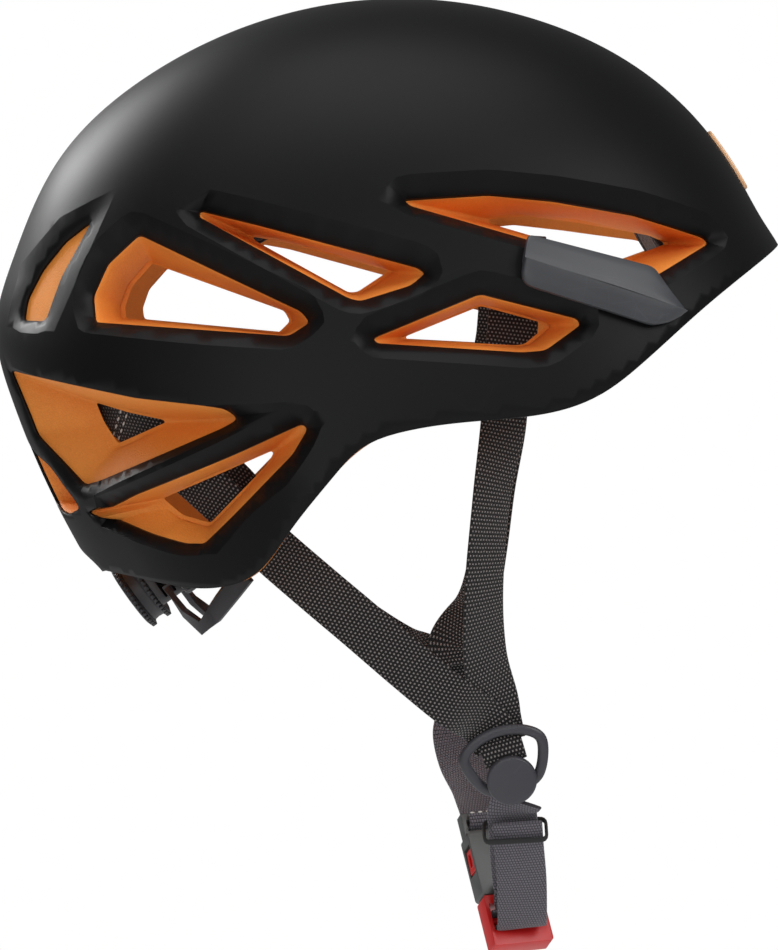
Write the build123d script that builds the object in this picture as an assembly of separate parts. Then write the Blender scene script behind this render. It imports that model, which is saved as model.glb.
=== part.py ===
"""Climbing helmet: in-moulded crown, harness, side-release buckle and ratchet cradle.

Frame: millimetres, +X to the front, +Y to the wearer's left, +Z up. The origin is
the middle of the head space, on the mid-plane, where the helmet is held by a head.
"""

from build123d import *
import math
import os

import numpy as np

os.makedirs("parts", exist_ok=True)

# Crown: the side outline of its mid-plane, front to nape, as (x, z).
OUTLINE = [(150, 45), (142, 75), (135.7, 92.9), (129.6, 102.6), (122, 116), (105.8, 138.6), (79, 160.5),
           (46.4, 174.6), (0, 181.4), (-45.7, 174.6), (-91.4, 153), (-122, 124), (-138.6, 88.2),
           (-144.5, 61.2), (-139.5, 40), (-127.1, 9), (-112, -19.8), (-97, -45)]
# Head space: its mid-plane radius at these angles above +X, in degrees.
HEAD_ANGLES = [5, 34, 60, 90, 120, 150, 170, 190, 215]
HEAD_RADII = [136, 133, 147, 155, 152, 139, 117, 97, 84]
HALF_WIDTH, HEAD_HALF_WIDTH = 106.0, 84.0
SQUARENESS = 0.055            # how far the cross-section bulges beyond an ellipse
SHELL_T = 1.2                 # hard outer skin
BOND = 0.15                   # glue line between skin and foam
# Rim of the crown, seen from the side, front to nape.
RIM = [(165, 114), (133, 92.3), (102, 69.5), (80.5, 51), (66.5, 41), (53, 36), (30, 33), (0, 29),
       (-13, 24), (-24, 13), (-39, -5.5), (-52, -20.5), (-66, -25.5), (-86, -24.7), (-110, -20.5), (-140, -14)]
RIM_FOAM_PROUD = 1.0
NAPE_ARCH = (40.0, 11.7, -24.5)     # half width, height, base z of the cut-out over the ratchet

# Vents, seen from the side: each corner on the skin, paired with its corner on the head side.
VENTS = {
    "side_rear": [((-90, 96), (-86, 86)), ((-34, 69.5), (-40, 69.5)), ((-31, 65.5), (-38, 66)),
                  ((-38, 61), (-42, 62)), ((-105, 65.7), (-95, 67)), ((-106, 75), (-95.5, 71)),
                  ((-101, 86), (-93, 78))],
    "upper_rear": [((-69, 104), (-51, 95)), ((-69, 101.5), (-50, 93.5)), ((-18, 73.7), (-18, 75.8)),
                   ((-14, 72.7), (-15, 76)), ((3, 78), (-6, 82)), ((8, 82.2), (-4.5, 83.3)),
                   ((5.5, 84.3), (-7, 84)), ((-49, 99), (-41, 93.2))],
    "upper_front": [((0.5, 107.3), (30, 101)), ((29.5, 109.2), (43, 102.2)), ((52, 107.2), (61, 100)),
                    ((80, 102.6), (87, 96)), ((105, 95.4), (92, 94)), ((106.7, 93.2), (92.5, 93)),
                    ((86.5, 81.3), (73, 85.8)), ((42, 93.7), (45, 95.3)), ((2.6, 105), (30, 99.6))],
    "side_front": [((-9.7, 60.5), (1.3, 60.8)), ((26.5, 75.5), (27, 71.2)), ((59.6, 67.2), (47, 65.8)),
                   ((60.8, 65), (49, 63.9)), ((48.3, 56.1), (42, 58.2)), ((40.4, 55.5), (39, 57.8)),
                   ((-8.6, 58.6), (2, 59.7))],
    "nape_upper": [((-131, 46.8), (-106, 37.8)), ((-86, 38.2), (-94, 34.6)), ((-57, 35.2), (-81.5, 32.2)),
                   ((-55.6, 32.7), (-81, 31.2)), ((-61, 29.9), (-83, 30.4)), ((-109, 9), (-98, 23.7)),
                   ((-122, 25), (-103, 31))],
    "nape_lower": [((-105, -0.3), (-82, 5)), ((-92, 6.6), (-80, 6)), ((-33.1, 31), (-44.2, 21.9)),
                   ((-31, 29.3), (-43.6, 21)), ((-36, 21), (-46, 17)), ((-67.4, -9.7), (-65.4, -3)),
                   ((-74.7, -9.9), (-68, -2.4)), ((-86.5, -7), (-75, -0.6))],
}
# Blind vent behind: only the skin is open there.
REAR_SLOT = [(-107.9, 100), (-106.8, 99.5), (-111.4, 91), (-117, 81), (-122.5, 66), (-131.5, 66.3),
             (-130.5, 74), (-125, 84), (-116.6, 93.7)]
# Vent over the nape, beside the middle bridge, seen from behind as (y, z).
NAPE_SLOT = [(7.5, 26.3), (13, 25.5), (42, 15.5), (51, 1), (36, -2), (7.5, 0.6)]

# Webbing: width, thickness and the clearance it keeps from the foam.
WEB_W, WEB_T, WEB_CLEAR = 17.6, 1.4, 4.2
FRONT_INSIDE = [(40, 88), (39, 76), (38, 62), (36.5, 48)]
FRONT_RIGHT = [(35.3, -70, 33), (31, -73, 5), (28.5, -72, -25), (29, -65, -49), (32.3, -58, -65)]
FRONT_LEFT = [(40.5, 70, 33), (37.5, 73, 5), (34, 71, -20), (29.5, 66, -39)]
FRONT_TURN = [26, 42, 40, 30, 16]           # degrees that the face turns to the front
REAR_INSIDE = [(-103, 38), (-92, 29.5), (-76, 16.5), (-60, 2.5)]
REAR_RIGHT = [(-45, -67, -12), (-28, -70, -26.5), (-14.5, -71, -37.8), (3, -69.5, -53), (18, -67, -65.5)]
REAR_LEFT = [(-48, 67, -19), (-30, 70, -35), (-15, 71, -47), (1, 69, -57)]
REAR_TURN = [-8, -4, 0, 2, 4]
# Where both straps meet a divider, in its own plane: beside, along and out of it.
FRONT_AT_DIVIDER = [(1, 21.5, -3.0), (0.3, 12.6, -2.8)]
REAR_AT_DIVIDER = [(-4, 22, 4.4), (-1, 12.8, 3.2)]
REAR_AT_DIVIDER_LEFT = [(-9, 17, 4.4), (-3, 12.2, 3.2)]

# Strap divider: a rounded triangle with an arched slot and a round cap, in its own plane.
DIVIDER_R = ((38.3, -54.0, -92.8), (0.958, 0.0, 0.286), (0.06, -0.978, -0.2))
DIVIDER_L = ((21.5, 56.0, -75.5), (0.992, 0.0, 0.12), (0.02, 0.98, -0.2))
DIVIDER_T, CAP_R, CAP_T = 2.6, 8.8, 2.6

# Side-release buckle: centre of its top edge, width direction and outward face.
BUCKLE_O, BUCKLE_W, BUCKLE_N = (32.0, 11.0, -113.0), (0.943, 0.33, 0.05), (0.2538, -0.8062, 0.5341)
B_HALF_W, B_HALF_T = 11.3, 4.6
FEMALE_L, MALE_END = 33.0, 53.0
STRAP_OPEN_W = 19.5
BAR_V = -42.0                 # middle bar of the male frame, along the buckle
RELEASE = 26.0

# Ratchet: wheel centre and outward axis.
WHEEL_O, WHEEL_N = (-93.5, 0.0, -30.5), (-0.81, 0.0, -0.5864)
WHEEL_R, WHEEL_T, PINION_R = 13.5, 9.0, 3.2
HOUSE_X, HOUSE_Y, HOUSE_T = 21.0, 9.0, 9.0
RACK_H, RACK_T, RACK_REACH = 3.6, 2.0, 12.0
TEMPLE = (12.0, 47.0)         # x, z of the pegs that carry the cradle
BAND_W, BAND_T = 12.0, 1.6


def natural_spline(xs, ys):
    """Cubic through the points, with straight ends, as a function."""
    xs, ys = np.array(xs, float), np.array(ys, float)
    n, h = len(xs), np.diff(xs)
    system, right = np.zeros((n, n)), np.zeros(n)
    system[0, 0] = system[-1, -1] = 1
    for i in range(1, n - 1):
        system[i, i - 1:i + 2] = h[i - 1], 2 * (h[i - 1] + h[i]), h[i]
        right[i] = 6 * ((ys[i + 1] - ys[i]) / h[i] - (ys[i] - ys[i - 1]) / h[i - 1])
    m = np.linalg.solve(system, right)

    def value(x):
        i = min(max(int(np.searchsorted(xs, x)) - 1, 0), n - 2)
        d = x - xs[i]
        slope = (ys[i + 1] - ys[i]) / h[i] - h[i] * (2 * m[i] + m[i + 1]) / 6
        return float(ys[i] + d * slope + d * d * m[i] / 2 + d ** 3 * (m[i + 1] - m[i]) / (6 * h[i]))

    return value


def full_angle(x, z):
    return math.atan2(z, x) % (2 * math.pi)


crown_radius = natural_spline([full_angle(x, z) for x, z in OUTLINE], [math.hypot(x, z) for x, z in OUTLINE])
head_radius = natural_spline([math.radians(a) for a in HEAD_ANGLES], HEAD_RADII)


def wall_point(angle, tilt, inset=0.0, head=False):
    """A point of the crown's outer wall, or of the head space, inset from it."""
    radius = (head_radius if head else crown_radius)(angle) - inset
    half = (HEAD_HALF_WIDTH - 2 * math.cos(angle) if head else HALF_WIDTH - 3 * math.cos(angle)) - inset
    swell = 1 + SQUARENESS * math.sin(2 * tilt) ** 2
    out = swell * radius * math.cos(tilt)
    return Vector(out * math.cos(angle), -swell * half * math.sin(tilt), out * math.sin(angle))


def side_point(x, z, inset=0.0, head=False):
    """The wall point on the wearer's right that is seen at (x, z) from the side."""
    angle = full_angle(x, z)
    share = math.hypot(x, z) / ((head_radius if head else crown_radius)(angle) - inset)
    low, high = 0.0, math.pi / 2
    for _ in range(40):
        tilt = (low + high) / 2
        if math.cos(tilt) * (1 + SQUARENESS * math.sin(2 * tilt) ** 2) > share:
            low = tilt
        else:
            high = tilt
    return wall_point(angle, low, inset, head)


def wall_normal(x, z, head=True):
    here, dx, dz = (side_point(x + a, z + b, 0, head) for a, b in ((0, 0), (1, 0), (0, 1)))
    normal = (dx - here).cross(dz - here).normalized()
    return normal if normal.Y < 0 else -normal


def wall_patch(outer, inner, angles, tilts, counts):
    """Solid between two walls; outer and inner are (inset, head) pairs, angles in degrees."""
    def grid(inset, head):
        return [[wall_point(math.radians(a), math.radians(t), inset, head)
                 for t in np.linspace(*tilts, counts[1])] for a in np.linspace(*angles, counts[0])]

    faces = [Face.make_surface_from_array_of_points(grid(*layer), tol=0.005) for layer in (outer, inner)]
    pairs = []
    for edge in faces[0].edges():
        pairs.append((edge, min(faces[1].edges(), key=lambda other: (other.center() - edge.center()).length)))
    sides = []
    for first, second in pairs:
        if (first.position_at(0) - second.position_at(0)).length > (
                first.position_at(0) - second.position_at(1)).length:
            second = second.reversed()
        sides.append(Face.make_surface_from_curves(first, second))
    return Solid(Shell(faces + sides))


def polygon(points):
    return Wire.make_polygon([Vector(*p) for p in points], close=True)


def rim_cutter(drop):
    """Everything above the rim, seen from the side, lowered by drop."""
    line = Spline(*[(x - drop * 0.4, z - drop) for x, z in RIM])
    top = Polyline(line @ 1, (-200, -14), (-200, 260), (220, 260), (220, 114), line @ 0)
    face = Face(Wire([line, *top.edges()]))
    return extrude(Plane.XZ * face, amount=200, both=True)


def vent_cutter(corners):
    """Tapered plug whose sides run from the skin's opening to the head side's, then straight in."""
    outer = [side_point(*a) for a, _ in corners]
    inner = [side_point(*b, head=True) for _, b in corners]
    way = sum((o - i for o, i in zip(outer, inner)), Vector()).normalized()
    centre = sum(outer, Vector()) / len(outer)
    depths = [(i - centre).dot(way) for i in inner]

    def at(distance):
        points = []
        for o, i in zip(outer, inner):
            line = o - i
            along = (distance - (o - centre).dot(way)) / line.dot(way)
            point = o + line * min(max(along, -1.05), 0.6)
            points.append(point + way * (distance - (point - centre).dot(way)))
        return polygon(points)

    mouth, throat = at(16), at(min(depths) - 1)
    return Solid.make_loft([mouth, throat], ruled=True) + Solid.extrude(Face(throat), way * -26)


def rear_slot_cutter():
    outer = [side_point(*p) for p in REAR_SLOT]
    centre = sum(outer, Vector()) / len(outer)
    way = wall_normal(-118, 80, head=False)
    flat = [p - way * (p - centre).dot(way) for p in outer]
    return Solid.extrude(Face(polygon([p + way * 12 for p in flat])), way * -24)


def nape_slot_cutter(grow=1.0):
    ring = [(-170, 27 + (y - 27) * grow, 12 + (z - 12) * grow) for y, z in NAPE_SLOT]
    return Solid.extrude(Face(polygon(ring)), Vector(90, 0, 0))


def nape_arch():
    half_width, height, base = NAPE_ARCH
    face = Plane((-60, 0, base), x_dir=(0, 1, 0), z_dir=(-1, 0, 0)) * Ellipse(half_width, height)
    return extrude(face, amount=90)


def both_sides(solid):
    return [solid, solid.mirror(Plane.XZ)]


def crown():
    plugs = [s for corners in VENTS.values() for s in both_sides(vent_cutter(corners))]
    skin = wall_patch((0, False), (SHELL_T, False), (8, 212), (-85, 85), (60, 45))
    skin = skin & rim_cutter(0)
    for cutter in plugs + both_sides(rear_slot_cutter()) + both_sides(nape_slot_cutter()) + [nape_arch()]:
        skin = skin - cutter
    foam = wall_patch((SHELL_T + BOND, False), (0, True), (8, 212), (-85, 85), (60, 45))
    foam = foam & rim_cutter(RIM_FOAM_PROUD)
    for cutter in plugs + both_sides(nape_slot_cutter(0.85)) + [nape_arch()]:
        foam = foam - cutter
    return skin, foam


def badge():
    return wall_patch((-1.2, False), (-0.1, False), (42.5, 50.5), (-8, 8), (8, 8))


def headlamp_clip():
    """Flat hook that stands off the skin, with its foot behind."""
    outline = [(41, 92.5), (84, 83), (95.5, 67.5), (88, 63.5), (82, 63), (40, 77), (38, 80)]
    plate = wall_patch((-4.2, False), (-1.8, False), (20, 80), (35, 82), (30, 20))
    plate = plate & Solid.extrude(Face(polygon([(x, -130, z) for x, z in outline])), Vector(0, 90, 0))
    foot = wall_patch((-1.8, False), (-0.15, False), (20, 80), (35, 82), (30, 20))
    root = [(42, 91), (54, 88.5), (52, 75), (41, 78.5)]
    foot = foot & Solid.extrude(Face(polygon([(x, -130, z) for x, z in root])), Vector(0, 90, 0))
    return plate + foot


def pads():
    made = {
        "pad_front": wall_patch((0.3, True), (6.3, True), (37, 52), (-24, 24), (12, 16)),
        "pad_crown": wall_patch((0.3, True), (7.3, True), (74, 118), (-11, 11), (16, 10)),
        "pad_nape": wall_patch((0.3, True), (5.8, True), (146, 164), (-18, 18), (10, 12)),
    }
    side = wall_patch((0.3, True), (6.3, True), (96, 124), (34, 47), (12, 12))
    made["pad_side_right"], made["pad_side_left"] = both_sides(side)
    return made


def webbing(stations, width=WEB_W, thick=WEB_T):
    """Flat strap through (point, face normal) stations."""
    sections = []
    for i, (point, normal) in enumerate(stations):
        before, after = stations[max(i - 1, 0)][0], stations[min(i + 1, len(stations) - 1)][0]
        along = (after - before).normalized()
        across = along.cross(normal).normalized() * (width / 2)
        face = across.cross(along).normalized() * (thick / 2)
        sections.append(polygon([point - across - face, point + across - face,
                                 point + across + face, point - across + face]))
    return Solid.make_loft(sections, ruled=True)


def laid_inside(points, side):
    """Stations of a strap that lies on the head side of the foam."""
    out = []
    for x, z in points:
        place, normal = side_point(x, z, WEB_CLEAR, head=True), wall_normal(x, z)
        out.append((Vector(place.X, -side * place.Y, place.Z), Vector(normal.X, -side * normal.Y, normal.Z)))
    return out


def turned(points, degrees, side):
    return [(Vector(*p), Vector(math.sin(math.radians(d)), side * math.cos(math.radians(d)), 0))
            for p, d in zip(points, degrees)]


def at_divider(points, spec):
    """Stations given in a divider's own plane."""
    origin, across, out = (Vector(*part) for part in spec)
    up = across.cross(out) if out.Y > 0 else out.cross(across)
    return [(origin + across * u + up * v + out * n, out) for u, v, n in points]


def harness_straps():
    made = {}
    for name, side, spec, front, rear, rear_end in (
            ("right", -1, DIVIDER_R, FRONT_RIGHT, REAR_RIGHT, REAR_AT_DIVIDER),
            ("left", 1, DIVIDER_L, FRONT_LEFT, REAR_LEFT, REAR_AT_DIVIDER_LEFT)):
        made[f"front_strap_{name}"] = webbing(laid_inside(FRONT_INSIDE, side) + turned(front, FRONT_TURN, side)
                                              + at_divider(FRONT_AT_DIVIDER, spec))
        made[f"rear_strap_{name}"] = webbing(laid_inside(REAR_INSIDE, side) + turned(rear, REAR_TURN, side)
                                             + at_divider(rear_end, spec))
    return made


def strap_anchor(x, z):
    """Plate pinned through the foam behind the end of a strap."""
    plane = Plane(side_point(x, z, WEB_CLEAR + 2.2, head=True), x_dir=(1, 0, 0.01), z_dir=wall_normal(x, z))
    return plane * Box(20, 12, 2.2)


def divider_plane(spec):
    return Plane(Vector(*spec[0]), x_dir=spec[1], z_dir=spec[2])


def divider_frame():
    outer = Polygon((-15.5, 11), (-10.5, 17.2), (0, 19.5), (10.5, 17.2), (15.5, 11), (9.2, -4), (-9.2, -4),
                    align=None)
    outer = fillet(outer.vertices(), 3.2)
    slot = Polygon((-10.2, 8.8), (-8, 12.8), (0, 14.6), (8, 12.8), (10.2, 8.8), (0, 9.6), align=None)
    lower = Pos(0, 2) * Rectangle(12, 3.4)
    return extrude(outer - fillet(slot.vertices(), 0.8) - lower, amount=DIVIDER_T / 2, both=True)


def divider_parts():
    front = DIVIDER_T / 2 + 0.1
    cap = Pos(0, 0, front) * extrude(Circle(CAP_R), amount=CAP_T)
    cap = chamfer(cap.edges().sort_by(Axis.Z)[-1], 0.7)
    back = Pos(0, -1.5, -front - 1.9) * extrude(RectangleRounded(17, 7, 2), amount=1.9)
    made = {}
    for side, spec in (("right", DIVIDER_R), ("left", DIVIDER_L)):
        flip = Rot(0, 0, 0) if side == "right" else Rot(0, 180, 0)
        plane = divider_plane(DIVIDER_R if side == "right" else (spec[0], spec[1], [-c for c in spec[2]]))
        for name, shape in (("divider_frame", divider_frame()), ("divider_cap", cap), ("divider_lock", back)):
            made[f"{name}_{side}"] = plane * flip * shape
    return made


def buckle_plane():
    return Plane(Vector(*BUCKLE_O), x_dir=BUCKLE_W, z_dir=BUCKLE_N)


def block(x0, x1, y0, y1, z0, z1):
    return Pos((x0 + x1) / 2, (y0 + y1) / 2, (z0 + z1) / 2) * Box(x1 - x0, y1 - y0, z1 - z0)


def buckle_female():
    w, t = B_HALF_W, B_HALF_T
    body = block(-w, w, -FEMALE_L, -8, -t, t)
    body = fillet(body.edges().filter_by(Axis.Z), 1.5)
    loop = block(-w, w, -9, 0, -2.3, 2.3) - block(-STRAP_OPEN_W / 2, STRAP_OPEN_W / 2, -8, -2.6, -t, t)
    body = body + loop
    body = body - block(-w + 1.6, w - 1.6, -FEMALE_L, -10.5, -t + 1.5, t - 1.5)
    for s in (-1, 1):
        body = body - block(min(s * 8, s * 13), max(s * 8, s * 13), -23.5, -12.5, -t + 1.5, t - 1.5)
    return body


def buckle_male():
    w = B_HALF_W
    frame = block(-w, w, -MALE_END, -FEMALE_L - 0.3, -4, 4)
    frame = fillet(frame.edges().filter_by(Axis.Z), 1.2)
    frame = frame - block(-STRAP_OPEN_W / 2, STRAP_OPEN_W / 2, -47, -36.6, -4, 4)
    bar = Pos(0, BAR_V, -0.6) * Rot(0, 90, 0) * Cylinder(1.4, 2 * w - 1)
    tongue = block(-2.2, 2.2, -FEMALE_L - 0.4, -14, -2, 2)
    return frame + bar + tongue


def buckle_prong(sign):
    """Springy arm with the thumb face that shows in the side window."""
    line = [(5.6, -32.8), (8.4, -32.8), (8.7, -23.2), (11.2, -22.4), (10.9, -13.6), (8.2, -13.2), (6.4, -20)]
    arm = extrude(Polygon(*[(sign * x, y) for x, y in line], align=None), amount=2.6, both=True)
    return arm - Pos(sign * 11.4, -17.6) * Cylinder(2.6, 2)


def chin_strap_left(plane):
    """Strap from the left divider, sewn round the top bar of the socket."""
    along, face = plane.y_dir, plane.z_dir
    hanging = [((21.3, 50.0, -88), (0.1, 0.9, -0.4)), ((23.5, 41, -97), (0.12, 0.75, -0.65)),
               ((28, 28, -105.5), (0.1, 0.55, -0.8))]
    round_bar = [((2.0, -4.6), -face), ((-1.6, -3.7), -face), ((-4.4, -2.4), -face - along),
                 ((-5.4, 0.2), -along), ((-4.4, 2.8), face - along), ((-1.0, 3.7), face)]
    stations = at_divider([(0, -7, 0)], DIVIDER_L) + [(Vector(*p), Vector(*f)) for p, f in hanging]
    stations += [(plane.from_local_coords(Vector(0, *p)), f.normalized()) for p, f in round_bar]
    return webbing(stations)


def chin_strap_right(plane):
    """Strap from the right divider, through the plug's bars, with its free tail as a second solid."""
    along, face = plane.y_dir, plane.z_dir
    out = Vector(0.02, -0.74, -0.67)
    hanging = [(38.9, -47.4, -105), (39.4, -42.4, -110.5), (40.6, -28.6, -125)]
    threaded = [((-38.5, 7.8), face + along), ((-39.1, 3.0), face + along), ((-39.0, -1.0), along),
                ((-40.2, -3.6), along - face), ((-42.4, -4.0), -face), ((-44.4, -2.8), -face - along),
                ((-45.1, 0.0), -along), ((-45.5, 4.5), -along)]
    fold = [((43.4, -19.4, -149.6), (0.1, -0.5, -0.86))]
    tail = [(43.3, -25.5, -143.5), (42.7, -35, -130.5), (41.4, -43.4, -118), (40.6, -48.6, -109)]
    stations = at_divider([(0, -8.6, 0)], DIVIDER_R) + [(Vector(*p), out) for p in hanging]
    stations += [(plane.from_local_coords(Vector(0, *p)), f.normalized()) for p, f in threaded]
    stations += [(Vector(*p), Vector(*f)) for p, f in fold]
    loose = [(Vector(*p), out) for p in tail]
    start = (loose[0][0] + (loose[1][0] - loose[0][0]) * 0.05, out)
    return webbing(stations + loose[:1]), webbing([start] + loose[1:])


def strap_keeper():
    """Rubber loop round the strap and its tail."""
    plane = Plane((40.1, -43.7, -112.4), x_dir=(0.997, -0.018, 0.05), z_dir=(-0.05, -0.66, 0.75))
    loop = RectangleRounded(23.2, 10.8, 3) - RectangleRounded(20.6, 8.2, 1.8)
    return plane * extrude(loop, amount=1.3, both=True)


def ratchet_plane():
    return Plane(Vector(*WHEEL_O), x_dir=(0, 1, 0), z_dir=WHEEL_N)


def ratchet_parts():
    """Wheel, shaft with pinion, housing and cover, in the wheel's own plane."""
    half = WHEEL_T / 2
    wheel = extrude(Circle(WHEEL_R - 1.2), amount=half, both=True)
    for z in (-half, half - 2.6):
        wheel += Pos(0, 0, z) * extrude(Circle(WHEEL_R), amount=2.6)
    wheel = wheel - extrude(Circle(2.0), amount=half, both=True)
    shaft = Pos(0, 0, -half - 8.0) * extrude(Circle(1.95), amount=8.0 + half + 3.5)
    shaft += Pos(0, 0, -half - 7.0) * extrude(Circle(PINION_R), amount=3.4)
    front = -half - 0.4
    housing = block(-HOUSE_X, HOUSE_X, -HOUSE_Y, HOUSE_Y, front - 5.0, front)
    housing = fillet(housing.edges().filter_by(Axis.Z), 4)
    slot_h = RACK_H + PINION_R + 0.3
    housing = housing - block(-30, 30, -slot_h, slot_h, front - 5.0, front - 2.6)
    housing = housing - Pos(0, 0, front - 5.0) * extrude(Circle(2.05), amount=6)
    cover = block(-HOUSE_X, HOUSE_X, -HOUSE_Y, HOUSE_Y, front - HOUSE_T, front - 5.1)
    cover = fillet(cover.edges().filter_by(Axis.Z), 4)
    cover = cover - block(-30, 30, -slot_h, slot_h, front - 7.2, front - 5.0)
    cover = cover - Pos(0, 0, front - HOUSE_T) * extrude(Circle(2.05), amount=6)
    pad = fillet(block(-24, 24, -11, 11, front - HOUSE_T - 5.2, front - HOUSE_T - 0.2).edges().filter_by(Axis.Z), 5)
    return {"ratchet_wheel": wheel, "ratchet_shaft": shaft, "ratchet_housing": housing,
            "ratchet_cover": cover, "nape_cushion": pad}


def band_stations(side):
    """Side band of the cradle, from the wing up to the temple peg, outside face outwards."""
    route = [(-52.7, 53.4, -18), (-50, 56, -8), (-36, 61, 12), (-14, 66, 32), (TEMPLE[0] - 2, 69, TEMPLE[1] - 5)]
    faces = [(-0.45, 0.85, -0.1), (-0.35, 0.9, -0.1), (-0.2, 0.97, 0), (-0.1, 1, 0), (0, 1, 0)]
    return [(Vector(x, side * y, z), Vector(a, side * b, c)) for (x, y, z), (a, b, c) in zip(route, faces)]


def side_band(side):
    strip = webbing(band_stations(side), BAND_W, BAND_T)
    centre = Plane((TEMPLE[0], side * 69, TEMPLE[1]), x_dir=(1, 0, 0), z_dir=(0, side, 0))
    eye = centre * extrude(Circle(7), amount=BAND_T / 2, both=True)
    return strip + eye - centre * extrude(Circle(3.1), amount=4, both=True)


def temple_peg(side):
    centre = Plane((TEMPLE[0], side * 66.6, TEMPLE[1]), x_dir=(1, 0, 0), z_dir=(0, side, 0))
    return centre * (extrude(Circle(5.5), amount=1.2) + extrude(Circle(3.0), amount=13.4))


def rack(side):
    """Rack bar in the housing, carried on as the V-shaped wing at the nape."""
    plane = ratchet_plane()
    front = -WHEEL_T / 2 - 0.4
    mid = -side * (PINION_R + 0.15 + RACK_H / 2)
    near = -side * RACK_REACH
    far = side * (HOUSE_X + 7.2)
    bar = block(min(near, far), max(near, far), mid - RACK_H / 2, mid + RACK_H / 2, front - 6.6, front - 4.0)
    lead = plane.from_local_coords(Vector(far - side * 0.2, mid, front - 5.3))
    wing = [lead, Vector(-76, side * 33.5, -36.5), Vector(-70, side * 35, -41.5), Vector(-65.5, side * 38.5, -37),
            Vector(-59, side * 46, -28.5), Vector(-54.0, side * 52.0, -21.7)]
    faces = [(-0.81, 0, -0.59), (-0.78, side * 0.3, -0.55), (-0.7, side * 0.6, -0.4), (-0.6, side * 0.75, -0.25),
             (-0.5, side * 0.83, -0.15), (-0.45, side * 0.85, -0.1)]
    widths = [4.0, 5, 5.5, 6, 6.5, 7]
    sections = []
    for i, point in enumerate(wing):
        along = (wing[min(i + 1, 5)] - wing[max(i - 1, 0)]).normalized()
        across = along.cross(Vector(*faces[i])).normalized()
        face = across.cross(along).normalized() * (RACK_T / 2)
        across = across * (widths[i] / 2)
        sections.append(polygon([point - across - face, point + across - face,
                                 point + across + face, point - across + face]))
    return plane * bar + Solid.make_loft(sections, ruled=True)


def build():
    parts = dict(zip(("outer_shell", "foam_liner"), crown()))
    parts["front_badge"] = badge()
    parts["headlamp_clip_right"], parts["headlamp_clip_left"] = both_sides(headlamp_clip())
    parts.update(pads())
    parts.update(harness_straps())
    for name, place in (("front", (40.3, 90)), ("rear", (-104, 39))):
        right, left = both_sides(strap_anchor(*place))
        parts[f"strap_anchor_{name}_right"], parts[f"strap_anchor_{name}_left"] = right, left
    parts.update(divider_parts())
    plane = buckle_plane()
    parts["buckle_socket"] = plane * buckle_female()
    parts["buckle_plug"] = plane * buckle_male()
    parts["buckle_prong_front"] = plane * buckle_prong(1)
    parts["buckle_prong_rear"] = plane * buckle_prong(-1)
    parts["chin_strap_left"] = chin_strap_left(plane)
    parts["chin_strap_right"], parts["chin_strap_tail"] = chin_strap_right(plane)
    parts["strap_keeper"] = strap_keeper()
    for name, shape in ratchet_parts().items():
        parts[name] = ratchet_plane() * shape
    for name, side in (("right", -1), ("left", 1)):
        parts[f"side_band_{name}"] = side_band(side)
        parts[f"temple_peg_{name}"] = temple_peg(side)
        parts[f"rack_{name}"] = rack(side)
    return parts


if __name__ == "__main__":
    for node, shape in build().items():
        export_step(shape, f"parts/{node}.step")
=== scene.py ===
"""Climbing helmet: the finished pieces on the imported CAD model, as one add-on file.

Sizes inside the code are millimetres in the model's frame: +X to the front, +Y to
the wearer's left, +Z up, the origin in the middle of the head space.
"""

import math

import bmesh
import bpy
import numpy as np
from bpy.props import FloatProperty, FloatVectorProperty, IntProperty, PointerProperty
from mathutils import Matrix, Vector
from mathutils.geometry import delaunay_2d_cdt


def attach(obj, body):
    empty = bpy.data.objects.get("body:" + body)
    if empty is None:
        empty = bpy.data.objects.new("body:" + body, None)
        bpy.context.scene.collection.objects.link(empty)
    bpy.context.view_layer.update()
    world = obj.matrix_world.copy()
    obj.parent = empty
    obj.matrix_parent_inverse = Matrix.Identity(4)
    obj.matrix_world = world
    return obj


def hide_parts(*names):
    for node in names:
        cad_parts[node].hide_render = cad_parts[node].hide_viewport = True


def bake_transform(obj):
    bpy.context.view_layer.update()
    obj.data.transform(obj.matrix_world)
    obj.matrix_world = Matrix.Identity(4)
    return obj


bl_info = {
    "name": "Climbing helmet",
    "version": (1, 0, 0),
    "blender": (4, 5, 0),
    "location": "3D View > Sidebar > Helmet",
    "description": "Builds a climbing helmet with its harness, buckle and ratchet cradle",
    "category": "Add Mesh",
}

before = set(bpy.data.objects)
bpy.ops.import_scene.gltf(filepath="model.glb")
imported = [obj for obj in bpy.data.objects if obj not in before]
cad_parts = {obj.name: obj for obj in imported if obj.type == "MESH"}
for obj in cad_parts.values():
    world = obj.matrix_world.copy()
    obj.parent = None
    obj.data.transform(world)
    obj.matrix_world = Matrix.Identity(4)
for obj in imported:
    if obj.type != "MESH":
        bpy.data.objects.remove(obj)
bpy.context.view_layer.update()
MM = 0.001

# Crown: the side outline of its mid-plane, front to nape, as (x, z).
OUTLINE = [(150, 45), (142, 75), (135.7, 92.9), (129.6, 102.6), (122, 116), (105.8, 138.6), (79, 160.5),
           (46.4, 174.6), (0, 181.4), (-45.7, 174.6), (-91.4, 153), (-122, 124), (-138.6, 88.2),
           (-144.5, 61.2), (-139.5, 40), (-127.1, 9), (-112, -19.8), (-97, -45)]
HEAD_ANGLES = [5, 34, 60, 90, 120, 150, 170, 190, 215]
HEAD_RADII = [136, 133, 147, 155, 152, 139, 117, 97, 84]
HALF_WIDTH, HEAD_HALF_WIDTH, SQUARENESS = 106.0, 84.0, 0.055
RIM = [(165, 114), (133, 92.3), (102, 69.5), (80.5, 51), (66.5, 41), (53, 36), (30, 33), (0, 29),
       (-13, 24), (-24, 13), (-39, -5.5), (-52, -20.5), (-66, -25.5), (-86, -24.7),
       (-110, -20.5), (-140, -14)]
NAPE_ARCH = (40.0, 11.7, -24.5)

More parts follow.
